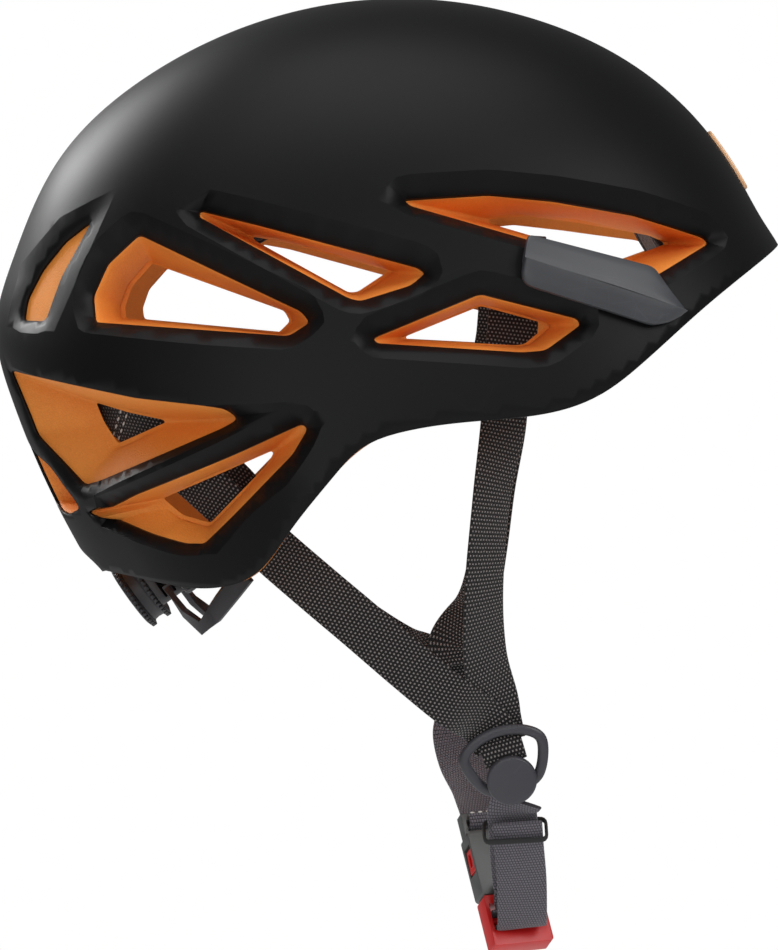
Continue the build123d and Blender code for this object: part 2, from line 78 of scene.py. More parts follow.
# Vents, seen from the side: each corner on the skin, paired with its corner on the head side.
VENTS = {
    "side_rear": [((-90, 96), (-86, 86)), ((-34, 69.5), (-40, 69.5)), ((-31, 65.5), (-38, 66)),
                  ((-38, 61), (-42, 62)), ((-105, 65.7), (-95, 67)), ((-106, 75), (-95.5, 71)),
                  ((-101, 86), (-93, 78))],
    "upper_rear": [((-69, 104), (-51, 95)), ((-69, 101.5), (-50, 93.5)), ((-18, 73.7), (-18, 75.8)),
                   ((-14, 72.7), (-15, 76)), ((3, 78), (-6, 82)), ((8, 82.2), (-4.5, 83.3)),
                   ((5.5, 84.3), (-7, 84)), ((-49, 99), (-41, 93.2))],
    "upper_front": [((0.5, 107.3), (30, 101)), ((29.5, 109.2), (43, 102.2)), ((52, 107.2), (61, 100)),
                    ((80, 102.6), (87, 96)), ((105, 95.4), (92, 94)), ((106.7, 93.2), (92.5, 93)),
                    ((86.5, 81.3), (73, 85.8)), ((42, 93.7), (45, 95.3)), ((2.6, 105), (30, 99.6))],
    "side_front": [((-9.7, 60.5), (1.3, 60.8)), ((26.5, 75.5), (27, 71.2)), ((59.6, 67.2), (47, 65.8)),
                   ((60.8, 65), (49, 63.9)), ((48.3, 56.1), (42, 58.2)), ((40.4, 55.5), (39, 57.8)),
                   ((-8.6, 58.6), (2, 59.7))],
    "nape_upper": [((-131, 46.8), (-106, 37.8)), ((-86, 38.2), (-94, 34.6)), ((-57, 35.2), (-81.5, 32.2)),
                   ((-55.6, 32.7), (-81, 31.2)), ((-61, 29.9), (-83, 30.4)), ((-109, 9), (-98, 23.7)),
                   ((-122, 25), (-103, 31))],
    "nape_lower": [((-105, -0.3), (-82, 5)), ((-92, 6.6), (-80, 6)), ((-33.1, 31), (-44.2, 21.9)),
                   ((-31, 29.3), (-43.6, 21)), ((-36, 21), (-46, 17)), ((-67.4, -9.7), (-65.4, -3)),
                   ((-74.7, -9.9), (-68, -2.4)), ((-86.5, -7), (-75, -0.6))],
}
REAR_SLOT = [(-107.9, 100), (-106.8, 99.5), (-111.4, 91), (-117, 81), (-122.5, 66), (-131.5, 66.3),
             (-130.5, 74), (-125, 84), (-116.6, 93.7)]
NAPE_SLOT = [(7.5, 26.3), (13, 25.5), (42, 15.5), (51, 1), (36, -2), (7.5, 0.6)]

# Outlines inside which the skin slopes down to a vent.
DIPS = {
    "side_rear": [(-92.5, 100), (-32.5, 71.4), (-26, 65.7), (-37.5, 58.7), (-108, 63.7), (-109, 76.6)],
    "upper_rear": [(-83, 107), (-46, 101.5), (9, 86), (13, 83), (-14, 70.5), (-68, 99.5)],
    "upper_front": [(-15, 110), (0, 111.6), (26, 112.7), (54, 110.4), (81, 106), (103, 100), (113, 95),
                    (88, 78), (40, 91.5), (1, 102.8)],
    "side_front": [(-19, 60), (13, 75.5), (27, 78), (63.5, 68.5), (66, 65), (49, 53.6), (-9, 56.3)],
    "nape_upper": [(-34, 39.6), (-113, 4), (-139, 50), (-120, 62), (-60, 56)],
    "nape_lower": [(-19, 39.6), (-90, 10.5), (-109, -0.8), (-76, -13.6), (-65, -13.2)],
    "rear_slot": [(-97, 112), (-119, 62.5), (-138, 64), (-133, 86), (-118, 102)],
}
DIP_DEPTH = {"side_rear": 4.6, "upper_rear": 4.0, "upper_front": 4.4, "side_front": 4.0,
             "nape_upper": 4.6, "nape_lower": 4.4, "rear_slot": 1.8}
LEDGE_Z, LEDGE_X, LEDGE_CURVE, LEDGE_DROP = 38.0, -60.0, 0.0021, 4.2

# Webbing stations, as the CAD model's straps have them.
WEB_W, WEB_T, WEB_CLEAR = 17.6, 1.4, 4.2
FRONT_INSIDE = [(40, 88), (39, 76), (38, 62), (36.5, 48)]
FRONT_RIGHT = [(35.3, -70, 33), (31, -73, 5), (28.5, -72, -25), (29, -65, -49), (32.3, -58, -65)]
FRONT_LEFT = [(40.5, 70, 33), (37.5, 73, 5), (34, 71, -20), (29.5, 66, -39)]
FRONT_TURN = [26, 42, 40, 30, 16]
REAR_INSIDE = [(-103, 38), (-92, 29.5), (-76, 16.5), (-60, 2.5)]
REAR_RIGHT = [(-45, -67, -12), (-28, -70, -26.5), (-14.5, -71, -37.8), (3, -69.5, -53), (18, -67, -65.5)]
REAR_LEFT = [(-48, 67, -19), (-30, 70, -35), (-15, 71, -47), (1, 69, -57)]
REAR_TURN = [-8, -4, 0, 2, 4]
FRONT_AT_DIVIDER = [(1, 21.5, -4.3), (0.3, 12.6, -4.3)]
REAR_AT_DIVIDER = [(-4, 22, -1.6), (-1, 12.8, -2.4)]
REAR_AT_DIVIDER_LEFT = [(-9, 17, -1.6), (-3, 12.2, -2.4)]
OVER_DIVIDER = [(0, 17.5, -2.8), (0, 14.5, -1.6), (0, 12.0, 0.5), (0, 9.0, 1.0), (0, 6.0, -0.6)]
DIVIDER_R = ((38.3, -54.0, -92.8), (0.958, 0.0, 0.286), (0.06, -0.978, -0.2))
DIVIDER_L = ((21.5, 56.0, -75.5), (0.992, 0.0, 0.12), (0.02, 0.98, -0.2))

# Buckle and ratchet planes.
BUCKLE_O, BUCKLE_W, BUCKLE_N = (32.0, 11.0, -113.0), (0.943, 0.33, 0.05), (0.2538, -0.8062, 0.5341)
WHEEL_O, WHEEL_N = (-93.5, 0.0, -30.5), (-0.81, 0.0, -0.5864)
WHEEL_R, WHEEL_T = 13.5, 9.0

# Camera: its place and the point it faces.
EYE, AIM, LENS = (-10.0, -1490.0, 63.7), (-3.96, 0.0, 10.8), 156.96


def tone(red, green, blue):
    """A display colour, 0 to 255, as the linear colour that shaders take."""
    out = []
    for value in (red / 255, green / 255, blue / 255):
        out.append(value / 12.92 if value <= 0.04045 else ((value + 0.055) / 1.055) ** 2.4)
    return tuple(out)


# ---------------------------------------------------------------- wall surfaces

def natural_spline(xs, ys):
    """Cubic through the points, with straight ends, for arrays."""
    xs, ys = np.array(xs, float), np.array(ys, float)
    n, h = len(xs), np.diff(xs)
    system, right = np.zeros((n, n)), np.zeros(n)
    system[0, 0] = system[-1, -1] = 1
    for i in range(1, n - 1):
        system[i, i - 1:i + 2] = h[i - 1], 2 * (h[i - 1] + h[i]), h[i]
        right[i] = 6 * ((ys[i + 1] - ys[i]) / h[i] - (ys[i] - ys[i - 1]) / h[i - 1])
    m = np.linalg.solve(system, right)

    def value(x):
        x = np.asarray(x, float)
        i = np.clip(np.searchsorted(xs, x) - 1, 0, n - 2)
        d = x - xs[i]
        slope = (ys[i + 1] - ys[i]) / h[i] - h[i] * (2 * m[i] + m[i + 1]) / 6
        return ys[i] + d * slope + d * d * m[i] / 2 + d ** 3 * (m[i + 1] - m[i]) / (6 * h[i])

    return value


def full_angle(x, z):
    return np.arctan2(z, x) % (2 * np.pi)


OUTLINE_ARRAY = np.array(OUTLINE, float)
CROWN_RADIUS = natural_spline(full_angle(*OUTLINE_ARRAY.T), np.hypot(*OUTLINE_ARRAY.T))
HEAD_RADIUS = natural_spline(np.radians(HEAD_ANGLES), HEAD_RADII)


def wall(angle, tilt, inset=0.0, head=False):
    """Points of the crown's outer wall, or of the head space, inset from it."""
    radius = (HEAD_RADIUS if head else CROWN_RADIUS)(angle) - inset
    half = (HEAD_HALF_WIDTH - 2 * np.cos(angle) if head else HALF_WIDTH - 3 * np.cos(angle)) - inset
    swell = 1 + SQUARENESS * np.sin(2 * tilt) ** 2
    out = swell * radius * np.cos(tilt)
    return np.stack([out * np.cos(angle), -swell * half * np.sin(tilt), out * np.sin(angle)], -1)


def from_side(points, inset=0.0, head=False):
    """(angle, tilt) of the wall points that are seen at these (x, z) from the side."""
    points = np.asarray(points, float)
    angle = full_angle(points[..., 0], points[..., 1])
    radius = (HEAD_RADIUS if head else CROWN_RADIUS)(angle) - inset
    share = np.hypot(points[..., 0], points[..., 1]) / radius
    low, high = np.zeros_like(share), np.full_like(share, np.pi / 2)
    for _ in range(40):
        tilt = (low + high) / 2
        inside = np.cos(tilt) * (1 + SQUARENESS * np.sin(2 * tilt) ** 2) > share
        low, high = np.where(inside, tilt, low), np.where(inside, high, tilt)
    return angle, low


def from_behind(points, inset=0.0, head=False):
    """(angle, tilt) of the wall points at the nape that are seen at these (y, z) from behind."""
    points = np.asarray(points, float)
    y, z = np.abs(points[:, 0]), points[:, 1]
    low, high = np.full(len(y), np.radians(100.0)), np.full(len(y), np.radians(212.0))
    for _ in range(40):
        angle = (low + high) / 2
        half = (HEAD_HALF_WIDTH - 2 * np.cos(angle) if head else HALF_WIDTH - 3 * np.cos(angle)) - inset
        below, above = np.zeros_like(y), np.full_like(y, np.pi / 2)
        for _ in range(30):
            tilt = (below + above) / 2
            short = half * np.sin(tilt) * (1 + SQUARENESS * np.sin(2 * tilt) ** 2) < y
            below, above = np.where(short, tilt, below), np.where(short, above, tilt)
        high_up = wall(angle, below, inset, head)[:, 2] > z
        low, high = np.where(high_up, angle, low), np.where(high_up, high, angle)
    return low, np.where(y < 1e-6, 0.0, below)


def to_chart(angle, tilt):
    """Flat map of half a wall: the mid-plane is the circle of radius 100, its side the centre."""
    reach = 100 * (1 - np.asarray(tilt) / (np.pi / 2))
    return np.stack([reach * np.cos(angle), reach * np.sin(angle)], -1)


def from_chart(chart):
    reach = np.hypot(chart[:, 0], chart[:, 1])
    return full_angle(chart[:, 0], chart[:, 1]), (1 - np.minimum(reach / 100, 1)) * np.pi / 2


EDGE_SHARE = 0.42   # the most of an edge that the turn of one corner takes up


def rounded(corners, cut, counts=None, step=3.0, turns=5):
    """Outline with each corner turned by a small curve; returns it and the points on each run."""
    corners = np.asarray(corners, float)
    n = len(corners)
    lengths = np.linalg.norm(np.roll(corners, -1, 0) - corners, axis=1)
    made, used = [], []
    for i in range(n):
        here, after = corners[i], corners[(i + 1) % n]
        before = corners[i - 1]
        back = min(cut, EDGE_SHARE * lengths[i - 1])
        on = min(cut, EDGE_SHARE * lengths[i])
        start = here + (before - here) / lengths[i - 1] * back
        end = here + (after - here) / lengths[i] * on
        for t in np.linspace(0, 1, turns):
            made.append((1 - t) ** 2 * start + 2 * t * (1 - t) * here + t * t * end)
        last, target = made[-1], after + (here - after) / lengths[i] * on
        count = counts[i] if counts else max(int(np.linalg.norm(target - last) / step) - 1, 1)
        used.append(count)
        made.extend(last + (target - last) * k / (count + 1) for k in range(1, count + 1))
    return np.array(made), used


def subdivided(points, step, closed=True):
    points = np.asarray(points, float)
    ends = np.vstack([points, points[:1]]) if closed else points
    out = []
    for a, b in zip(ends[:-1], ends[1:]):
        count = max(int(np.linalg.norm(b - a) / step), 1)
        out.extend(a + (b - a) * k / count for k in range(count))
    if not closed:
        out.append(ends[-1])
    return np.array(out)


def inside(points, ring):
    """Which chart points lie within a closed ring."""
    x, y = points[:, 0:1], points[:, 1:2]
    ax, ay = ring[:, 0], ring[:, 1]
    bx, by = np.roll(ax, -1), np.roll(ay, -1)
    crosses = (ay > y) != (by > y)
    where = (bx - ax) * (y - ay) / np.where(by == ay, 1e-12, by - ay) + ax
    return np.sum(crosses & (x < where), axis=1) % 2 == 1


def distance(points, ring):
    """How far chart points are from a closed ring."""
    best = np.full(len(points), 1e9)
    for start, end in zip(ring, np.roll(ring, -1, 0)):
        run = end - start
        t = np.clip(((points - start) @ run) / max(run @ run, 1e-12), 0, 1)
        best = np.minimum(best, np.linalg.norm(points - start - t[:, None] * run, axis=1))
    return best


def ledge_z(x):
    return LEDGE_Z + LEDGE_CURVE * (x - LEDGE_X) ** 2


def smooth(t):
    t = np.clip(t, 0, 1)
    return t * t * (3 - 2 * t)


def mouth_depth(name):
    return DIP_DEPTH[name] + (LEDGE_DROP * 0.9 if name.startswith("nape") else 0.0)


def paired_loops(name):
    """Matching outlines of a vent on the skin and on the head side, in their charts."""
    outer, inner = zip(*VENTS[name])
    ring, counts = rounded(outer, 1.8, step=2.4)
    back, _ = rounded(inner, 1.2, counts=counts, step=2.4)
    return to_chart(*from_side(ring, mouth_depth(name))), to_chart(*from_side(back, 0, True))


def rear_slot_loop():
    ring, _ = rounded(REAR_SLOT, 2.0, step=2.4)
    return to_chart(*from_side(ring, DIP_DEPTH["rear_slot"]))


def nape_loop(grow, inset, head):
    """Vent over the nape, on one side of its middle bridge."""
    _, counts = rounded(NAPE_SLOT, 4.0, step=3.0)
    ring = [(27 + (y - 27) * grow, 12 + (z - 12) * grow) for y, z in NAPE_SLOT]
    line, _ = rounded(ring, 4.0, counts)
    return to_chart(*from_behind(line, inset, head))


def nearest_on(point, line):
    """Nearest place on an open line."""
    best, place = 1e9, line[0]
    for a, b in zip(line[:-1], line[1:]):
        run = b - a
        t = min(max(float((point - a) @ run / max(run @ run, 1e-12)), 0), 1)
        spot = a + run * t
        gap = float(np.linalg.norm(point - spot))
        if gap < best:
            best, place = gap, spot
    return place


def kept_clear(ring, mouth, gap):
    """A ring whose points stay at least a gap outside a mouth."""
    around = np.vstack([mouth, mouth[:1]])
    out = []
    for point, hidden in zip(ring, inside(ring, mouth)):
        spot = nearest_on(point, around)
        away = (spot - point) if hidden else (point - spot)
        length = float(np.linalg.norm(away))
        if (hidden or length < gap) and length > 1e-6:
            point = spot + away / length * gap
        out.append(point)
    return np.array(out)


class Dips:
    """How far the skin is drawn in, over the chart."""

    def __init__(self):
        self.rings, self.mouths = {}, {}
        for name, ring in DIPS.items():
            self.mouths[name] = rear_slot_loop() if name == "rear_slot" else paired_loops(name)[0]
            self.rings[name] = kept_clear(to_chart(*from_side(subdivided(ring, 3))), self.mouths[name], 2.2)

    def ledge(self, chart):
        angle, tilt = from_chart(chart)
        place = wall(angle, tilt)
        x, z = place[:, 0], place[:, 2]
        fade = smooth((-25 - x) / 40) * smooth((np.degrees(tilt) - 12) / 24)
        return smooth((ledge_z(x) - z) / 2.6) * fade

    def depth(self, chart):
        low = self.ledge(chart)
        total = LEDGE_DROP * low
        for name, ring in self.rings.items():
            near = np.where(inside(chart, ring))[0]
            if not len(near):
                continue
            points = chart[near]
            out = distance(points, ring)
            gap = np.where(inside(points, self.mouths[name]), 0.0, distance(points, self.mouths[name]))
            share = out / (out + gap + 1e-9)
            share = np.where(share < 0.15, share * share / 0.3, share - 0.075) / 0.925
            if name == "nape_upper":
                share = share * low[near]
            total[near] = np.maximum(total[near], LEDGE_DROP * low[near] + DIP_DEPTH[name] * share)
        return total


DIP = Dips()


def rim_line(drop, inset=0.0, head=False, counts=(150, 26), proud=0.0):
    """Chart points of half the rim, front to back, the nape arch included."""
    rim = np.array(RIM, float)
    low = drop + proud * np.interp(rim[:, 0], (-66, -56, -40, -34), (0, 1, 1, 0))
    rim -= low[:, None] * np.array([0.4, 1.0])
    run = np.concatenate([[0], np.cumsum(np.linalg.norm(np.diff(rim, axis=0), axis=1))])
    along = np.linspace(0, run[-1], 1400)
    line = np.stack([natural_spline(run, rim[:, i])(along) for i in (0, 1)], -1)
    radius = (HEAD_RADIUS if head else CROWN_RADIUS)(full_angle(*line.T)) - inset
    line = line[np.hypot(*line.T) < radius]
    angle, tilt = from_side(line, inset, head)
    place = wall(angle, tilt, inset, head)
    half, height, base = NAPE_ARCH
    height -= min(drop, 0.0) * 1.5
    across = np.clip(np.abs(place[:, 1]) / half, 0, 1)
    arch = base + height * np.sqrt(1 - across ** 2)
    under = (place[:, 0] < -60) & (np.abs(place[:, 1]) < half) & (place[:, 2] < arch)
    meets = int(np.argmax(under)) if under.any() else len(line)
    side = to_chart(angle[:meets], tilt[:meets])
    side[0] = side[0] / np.linalg.norm(side[0]) * 100
    start = abs(place[meets - 1, 1])
    ys = start * np.cos(np.linspace(0, np.pi / 2, 60))
    zs = base + height * np.sqrt(np.maximum(1 - (ys / half) ** 2, 0))
    back = to_chart(*from_behind(np.stack([ys, zs], -1), inset, head))
    back[-1] = back[-1] / np.linalg.norm(back[-1]) * 100
    return np.vstack([evenly(side, counts[0])[:-1], evenly(back, counts[1])])


def evenly(line, count):
    run = np.concatenate([[0], np.cumsum(np.linalg.norm(np.diff(line, axis=0), axis=1))])
    at = np.linspace(0, run[-1], count)
    return np.stack([np.interp(at, run, line[:, i]) for i in (0, 1)], -1)


class HalfWall:
    """Triangles over half a wall's chart, around its openings, with creases along lines."""

    def __init__(self, rim, loops, creases, spacing):
        first, last = (full_angle(*rim[i]) for i in (0, -1))
        arc_angles = np.linspace(last, first, int(abs(last - first) * 100 / spacing))[1:-1]
        arc = 100 * np.stack([np.cos(arc_angles), np.sin(arc_angles)], -1)
        border = np.vstack([rim, arc])
        lines = [(border, True)] + [(l, True) for l in loops] + creases
        points, edges, spans = [], [], []
        for line, closed in lines:
            begin = len(points)
            points.extend(map(tuple, line))
            n = len(line)
            edges.extend((begin + i, begin + (i + 1) % n) for i in range(n if closed else n - 1))
            spans.append(np.arange(begin, begin + n))
        fixed = np.array(points)
        crease_from = sum(len(line) for line, _ in lines[:1 + len(loops)])
        grid = self.grid(spacing, border, loops, fixed)
        every = [Vector(p) for p in np.vstack([fixed, grid])]
        out = delaunay_2d_cdt(every, edges, [], 0, 1e-4, True)
        verts, out_edges, faces, from_verts, from_edges, _ = out
        self.chart = np.array([v[:] for v in verts])
        now = {}
        for new, olds in enumerate(from_verts):
            now.update((old, new) for old in olds)
        self.rim = np.array([now[i] for i in spans[0][:len(rim)]])
        self.loops = [np.array([now[i] for i in span]) for span in spans[1:1 + len(loops)]]
        self.creases = [e for e, olds in zip(out_edges, from_edges) if any(o >= crease_from for o in olds)]
        tris = np.array([f for f in faces if len(f) == 3])
        centres = self.chart[tris].mean(axis=1)
        keep = inside(centres, border)
        for loop in loops:
            keep &= ~inside(centres, loop)
        a, b, c = (self.chart[tris[:, i]] for i in range(3))
        area = (b[:, 0] - a[:, 0]) * (c[:, 1] - a[:, 1]) - (b[:, 1] - a[:, 1]) * (c[:, 0] - a[:, 0])
        keep &= np.abs(area) > 1e-6
        tris = tris[keep]
        self.tris = np.where((area[keep] < 0)[:, None], tris[:, ::-1], tris)

    @staticmethod
    def grid(spacing, border, loops, fixed):
        rows = []
        for j, y in enumerate(np.arange(-100, 100, spacing * 0.866)):
            xs = np.arange(-100, 100, spacing) + (spacing / 2 if j % 2 else 0)
            rows.append(np.stack([xs, np.full_like(xs, y)], -1))
        grid = np.vstack(rows)
        grid = grid[inside(grid, border) & (np.hypot(*grid.T) < 100 - spacing * 0.4)]
        clear = np.ones(len(grid), bool)
        for chunk in np.array_split(fixed, max(len(fixed) // 200, 1)):
            gaps = np.linalg.norm(grid[:, None] - chunk[None], axis=2).min(axis=1)
            clear &= gaps > spacing * 0.55
        for loop in loops:
            clear &= ~inside(grid, loop)
        return grid[clear]


class MeshParts:
    """Collects points and faces in millimetres, then makes one object of them."""

    def __init__(self):
        self.points, self.faces, self.sharp, self.uvs = [], [], [], []
        self.count = 0

    def add(self, points):
        points = np.asarray(points, float).reshape(-1, 3)
        self.points.append(points)
        self.count += len(points)
        return np.arange(self.count - len(points), self.count)

    def rows(self, rows, closed=True):
        """Quads between neighbouring rows of points that are already added."""
        for first, second in zip(rows[:-1], rows[1:]):
            n = len(first)
            for i in range(n if closed else n - 1):
                j = (i + 1) % n
                face = (first[i], first[j], second[j], second[i])
                self.faces.append(face)

    def tris(self, index, triangles, flip=False):
        for a, b, c in triangles:
            self.faces.append((index[c], index[b], index[a]) if flip else (index[a], index[b], index[c]))

    def cap(self, row, flip=False):
        self.faces.append(tuple(row[::-1]) if flip else tuple(row))

    def make(self, name, mirror=False, merge=0.004, recalc=True, smooth_angle=None):
        points = np.vstack(self.points)
        faces = [tuple(int(i) for i in f) for f in self.faces]
        sharp = {tuple(sorted(map(int, e))) for e in self.sharp}
        if mirror:
            n = len(points)
            points = np.vstack([points, points * [1, -1, 1]])
            faces += [tuple(i + n for i in reversed(f)) for f in faces]
            sharp |= {(a + n, b + n) for a, b in sharp}
        mesh = bpy.data.meshes.new(name)
        mesh.from_pydata((points * MM).tolist(), [], faces)
        work = bmesh.new()
        work.from_mesh(mesh)
        if sharp:
            for edge in work.edges:
                if tuple(sorted((edge.verts[0].index, edge.verts[1].index))) in sharp:
                    edge.smooth = False
        bmesh.ops.remove_doubles(work, verts=work.verts, dist=merge * MM)
        if recalc:
            bmesh.ops.recalc_face_normals(work, faces=work.faces)
        for face in work.faces:
            face.smooth = True
        if smooth_angle is not None:
            limit = math.radians(smooth_angle)
            for edge in work.edges:
                if len(edge.link_faces) == 2 and edge.calc_face_angle(0.0) > limit:
                    edge.smooth = False
        work.to_mesh(mesh)
        work.free()
        obj = bpy.data.objects.new(name, mesh)
        bpy.context.scene.collection.objects.link(obj)
        return obj


def plain(obj, *modifiers):
    """Turns an object and its modifiers into a plain mesh."""
    bpy.context.view_layer.update()
    graph = bpy.context.evaluated_depsgraph_get()
    mesh = bpy.data.meshes.new_from_object(obj.evaluated_get(graph))
    obj.modifiers.clear()
    obj.data = mesh
    return obj


def finish_piece(obj, material, body=None, nodes=()):
    """Gives a piece its material, parents it to its body's empty and hides the CAD nodes it stands for."""
    obj.data.materials.clear()
    obj.data.materials.append(material)
    if nodes:
        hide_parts(*nodes)
    if body:
        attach(obj, body)
    return obj


# ---------------------------------------------------------------- shader tools

def node(tree, kind, inputs=None, **settings):
    """Adds a node; an input given as a socket is joined, any other value is set."""
    made = tree.nodes.new(kind)
    for name, value in settings.items():
        setattr(made, name, value)
    for key, value in (inputs or {}).items():
        if isinstance(value, bpy.types.NodeSocket):
            tree.links.new(value, made.inputs[key])
        else:
            made.inputs[key].default_value = value
    return made


def maths(tree, operation, first, second=0.0, third=0.0, clamp=False):
    made = node(tree, "ShaderNodeMath", {0: first, 1: second, 2: third}, operation=operation, use_clamp=clamp)
    return made.outputs[0]


def mixed(tree, factor, first, second, blend="MIX"):
    made = node(tree, "ShaderNodeMix", {"Factor": factor}, data_type="RGBA", blend_type=blend)
    for socket, value in ((made.inputs[6], first), (made.inputs[7], second)):
        if isinstance(value, bpy.types.NodeSocket):
            tree.links.new(value, socket)
        else:
            socket.default_value = tuple(value)[:3] + (1,)
    return made.outputs[2]


def new_group(name, inputs, outputs):
    """Empty shader group with named sockets, as (tree, input node, function that sets outputs)."""
    tree = bpy.data.node_groups.new(name, "ShaderNodeTree")
    for label, kind, value in inputs:
        socket = tree.interface.new_socket(label, in_out="INPUT", socket_type=kind)
        if value is not None:
            socket.default_value = value
    for label, kind in outputs:
        tree.interface.new_socket(label, in_out="OUTPUT", socket_type=kind)
    given = tree.nodes.new("NodeGroupInput")
    out = tree.nodes.new("NodeGroupOutput")
    return tree, given.outputs, out.inputs


def grain_group():
    """Fine moulded grain: a height and a slow unevenness, from a place in metres."""
    tree, given, out = new_group("moulded_grain", [
        ("Place", "NodeSocketVector", None), ("Grain size", "NodeSocketFloat", 0.0006),
        ("Patch size", "NodeSocketFloat", 0.02)],
        [("Height", "NodeSocketFloat"), ("Patches", "NodeSocketFloat")])
    fine = node(tree, "ShaderNodeTexNoise", {"Vector": given["Place"], "Detail": 3.0, "Roughness": 0.6,
                                             "Scale": maths(tree, "DIVIDE", 1.0, given["Grain size"])})
    slow = node(tree, "ShaderNodeTexNoise", {"Vector": given["Place"], "Detail": 4.0, "Roughness": 0.55,
                                             "Scale": maths(tree, "DIVIDE", 1.0, given["Patch size"])})
    tree.links.new(fine.outputs["Fac"], out["Height"])
    tree.links.new(slow.outputs["Fac"], out["Patches"])
    return tree


def scuff_group():
    """Thin random scratches and dust specks, as a mask."""
    tree, given, out = new_group("light_scuffs", [
        ("Place", "NodeSocketVector", None), ("Size", "NodeSocketFloat", 0.03),
        ("Amount", "NodeSocketFloat", 0.5)],
        [("Mask", "NodeSocketFloat")])
    scale = maths(tree, "DIVIDE", 1.0, given["Size"])
    warp = node(tree, "ShaderNodeTexNoise", {"Vector": given["Place"], "Scale": scale, "Detail": 2.0})
    stretched = node(tree, "ShaderNodeMapping", {"Vector": given["Place"], "Rotation": (0.4, 0.7, 0.3),
                                                 "Scale": (1.0, 14.0, 3.0)})
    lines = node(tree, "ShaderNodeTexVoronoi", {"Vector": stretched.outputs[0], "Scale": scale},
                 feature="DISTANCE_TO_EDGE")
    thin = maths(tree, "LESS_THAN", lines.outputs["Distance"], 0.012)
    specks = node(tree, "ShaderNodeTexNoise", {"Vector": given["Place"], "Detail": 2.0,
                                               "Scale": maths(tree, "MULTIPLY", scale, 40.0)})
    dust = maths(tree, "GREATER_THAN", specks.outputs["Fac"], 0.72)
    patchy = maths(tree, "MULTIPLY", maths(tree, "ADD", thin, dust, clamp=True),
                   maths(tree, "GREATER_THAN", warp.outputs["Fac"], 0.52))
    tree.links.new(maths(tree, "MULTIPLY", patchy, given["Amount"]), out["Mask"])
    return tree


def weave_group():
    """Ribbed webbing: short dashes in rows across the strap, from a UV map in metres."""
    tree, given, out = new_group("webbing_weave", [
        ("UV", "NodeSocketVector", None), ("Row pitch", "NodeSocketFloat", 0.0019),
        ("Dash pitch", "NodeSocketFloat", 0.0014), ("Slant", "NodeSocketFloat", 0.5),
        ("Dash share", "NodeSocketFloat", 0.5), ("Unevenness", "NodeSocketFloat", 0.25)],
        [("Dashes", "NodeSocketFloat"), ("Height", "NodeSocketFloat"), ("Fuzz", "NodeSocketFloat")])
    parts = node(tree, "ShaderNodeSeparateXYZ", {0: given["UV"]})
    wobble = node(tree, "ShaderNodeTexNoise", {"Vector": given["UV"], "Scale": 420.0, "Detail": 2.0})
    shift = maths(tree, "MULTIPLY", maths(tree, "SUBTRACT", wobble.outputs["Fac"], 0.5), given["Unevenness"])
    row = maths(tree, "ADD", maths(tree, "DIVIDE", parts.outputs["Y"], given["Row pitch"]), shift)
    number = maths(tree, "FLOOR", row)
    in_row = maths(tree, "ABSOLUTE", maths(tree, "SUBTRACT", maths(tree, "FRACT", row), 0.5))
    column = maths(tree, "ADD", maths(tree, "DIVIDE", parts.outputs["X"], given["Dash pitch"]),
                   maths(tree, "MULTIPLY", number, given["Slant"]))
    in_column = maths(tree, "ABSOLUTE", maths(tree, "SUBTRACT", maths(tree, "FRACT", column), 0.5))
    ridge = maths(tree, "SUBTRACT", 1.0, maths(tree, "MULTIPLY", in_row, 2.0))
    bead = maths(tree, "SUBTRACT", 1.0, maths(tree, "MULTIPLY", in_column, 2.0))
    across = maths(tree, "SMOOTH_MIN", ridge, bead, 0.3)
    edge = maths(tree, "SUBTRACT", 1.0, given["Dash share"])
    above = maths(tree, "SUBTRACT", across, maths(tree, "MULTIPLY", edge, 0.7))
    dashes = maths(tree, "DIVIDE", above, 0.3, clamp=True)
    fuzz = node(tree, "ShaderNodeTexNoise", {"Vector": given["UV"], "Scale": 2600.0, "Detail": 3.0})
    tree.links.new(dashes, out["Dashes"])
    tree.links.new(maths(tree, "ADD", maths(tree, "SQRT", maths(tree, "MAXIMUM", across, 0.0)),
                         maths(tree, "MULTIPLY", fuzz.outputs["Fac"], 0.25)), out["Height"])
    tree.links.new(fuzz.outputs["Fac"], out["Fuzz"])
    return tree


def group_of(name, build):
    return bpy.data.node_groups.get(name) or build()


def started(name):
    """New material, as (material, tree, shader, place socket)."""
    material = bpy.data.materials.new(name)
    material.use_nodes = True
    tree = material.node_tree
    shader = tree.nodes["Principled BSDF"]
    place = node(tree, "ShaderNodeTexCoord").outputs["Object"]
    return material, tree, shader, place


def grouped(tree, group, inputs):
    made = node(tree, "ShaderNodeGroup", node_tree=group)
    for key, value in inputs.items():
        if isinstance(value, bpy.types.NodeSocket):
            tree.links.new(value, made.inputs[key])
        else:
            made.inputs[key].default_value = value
    return made


def bumped(tree, shader, height, distance_m, strength=1.0):
    bump = node(tree, "ShaderNodeBump", {"Height": height, "Distance": distance_m, "Strength": strength})
    tree.links.new(bump.outputs[0], shader.inputs["Normal"])


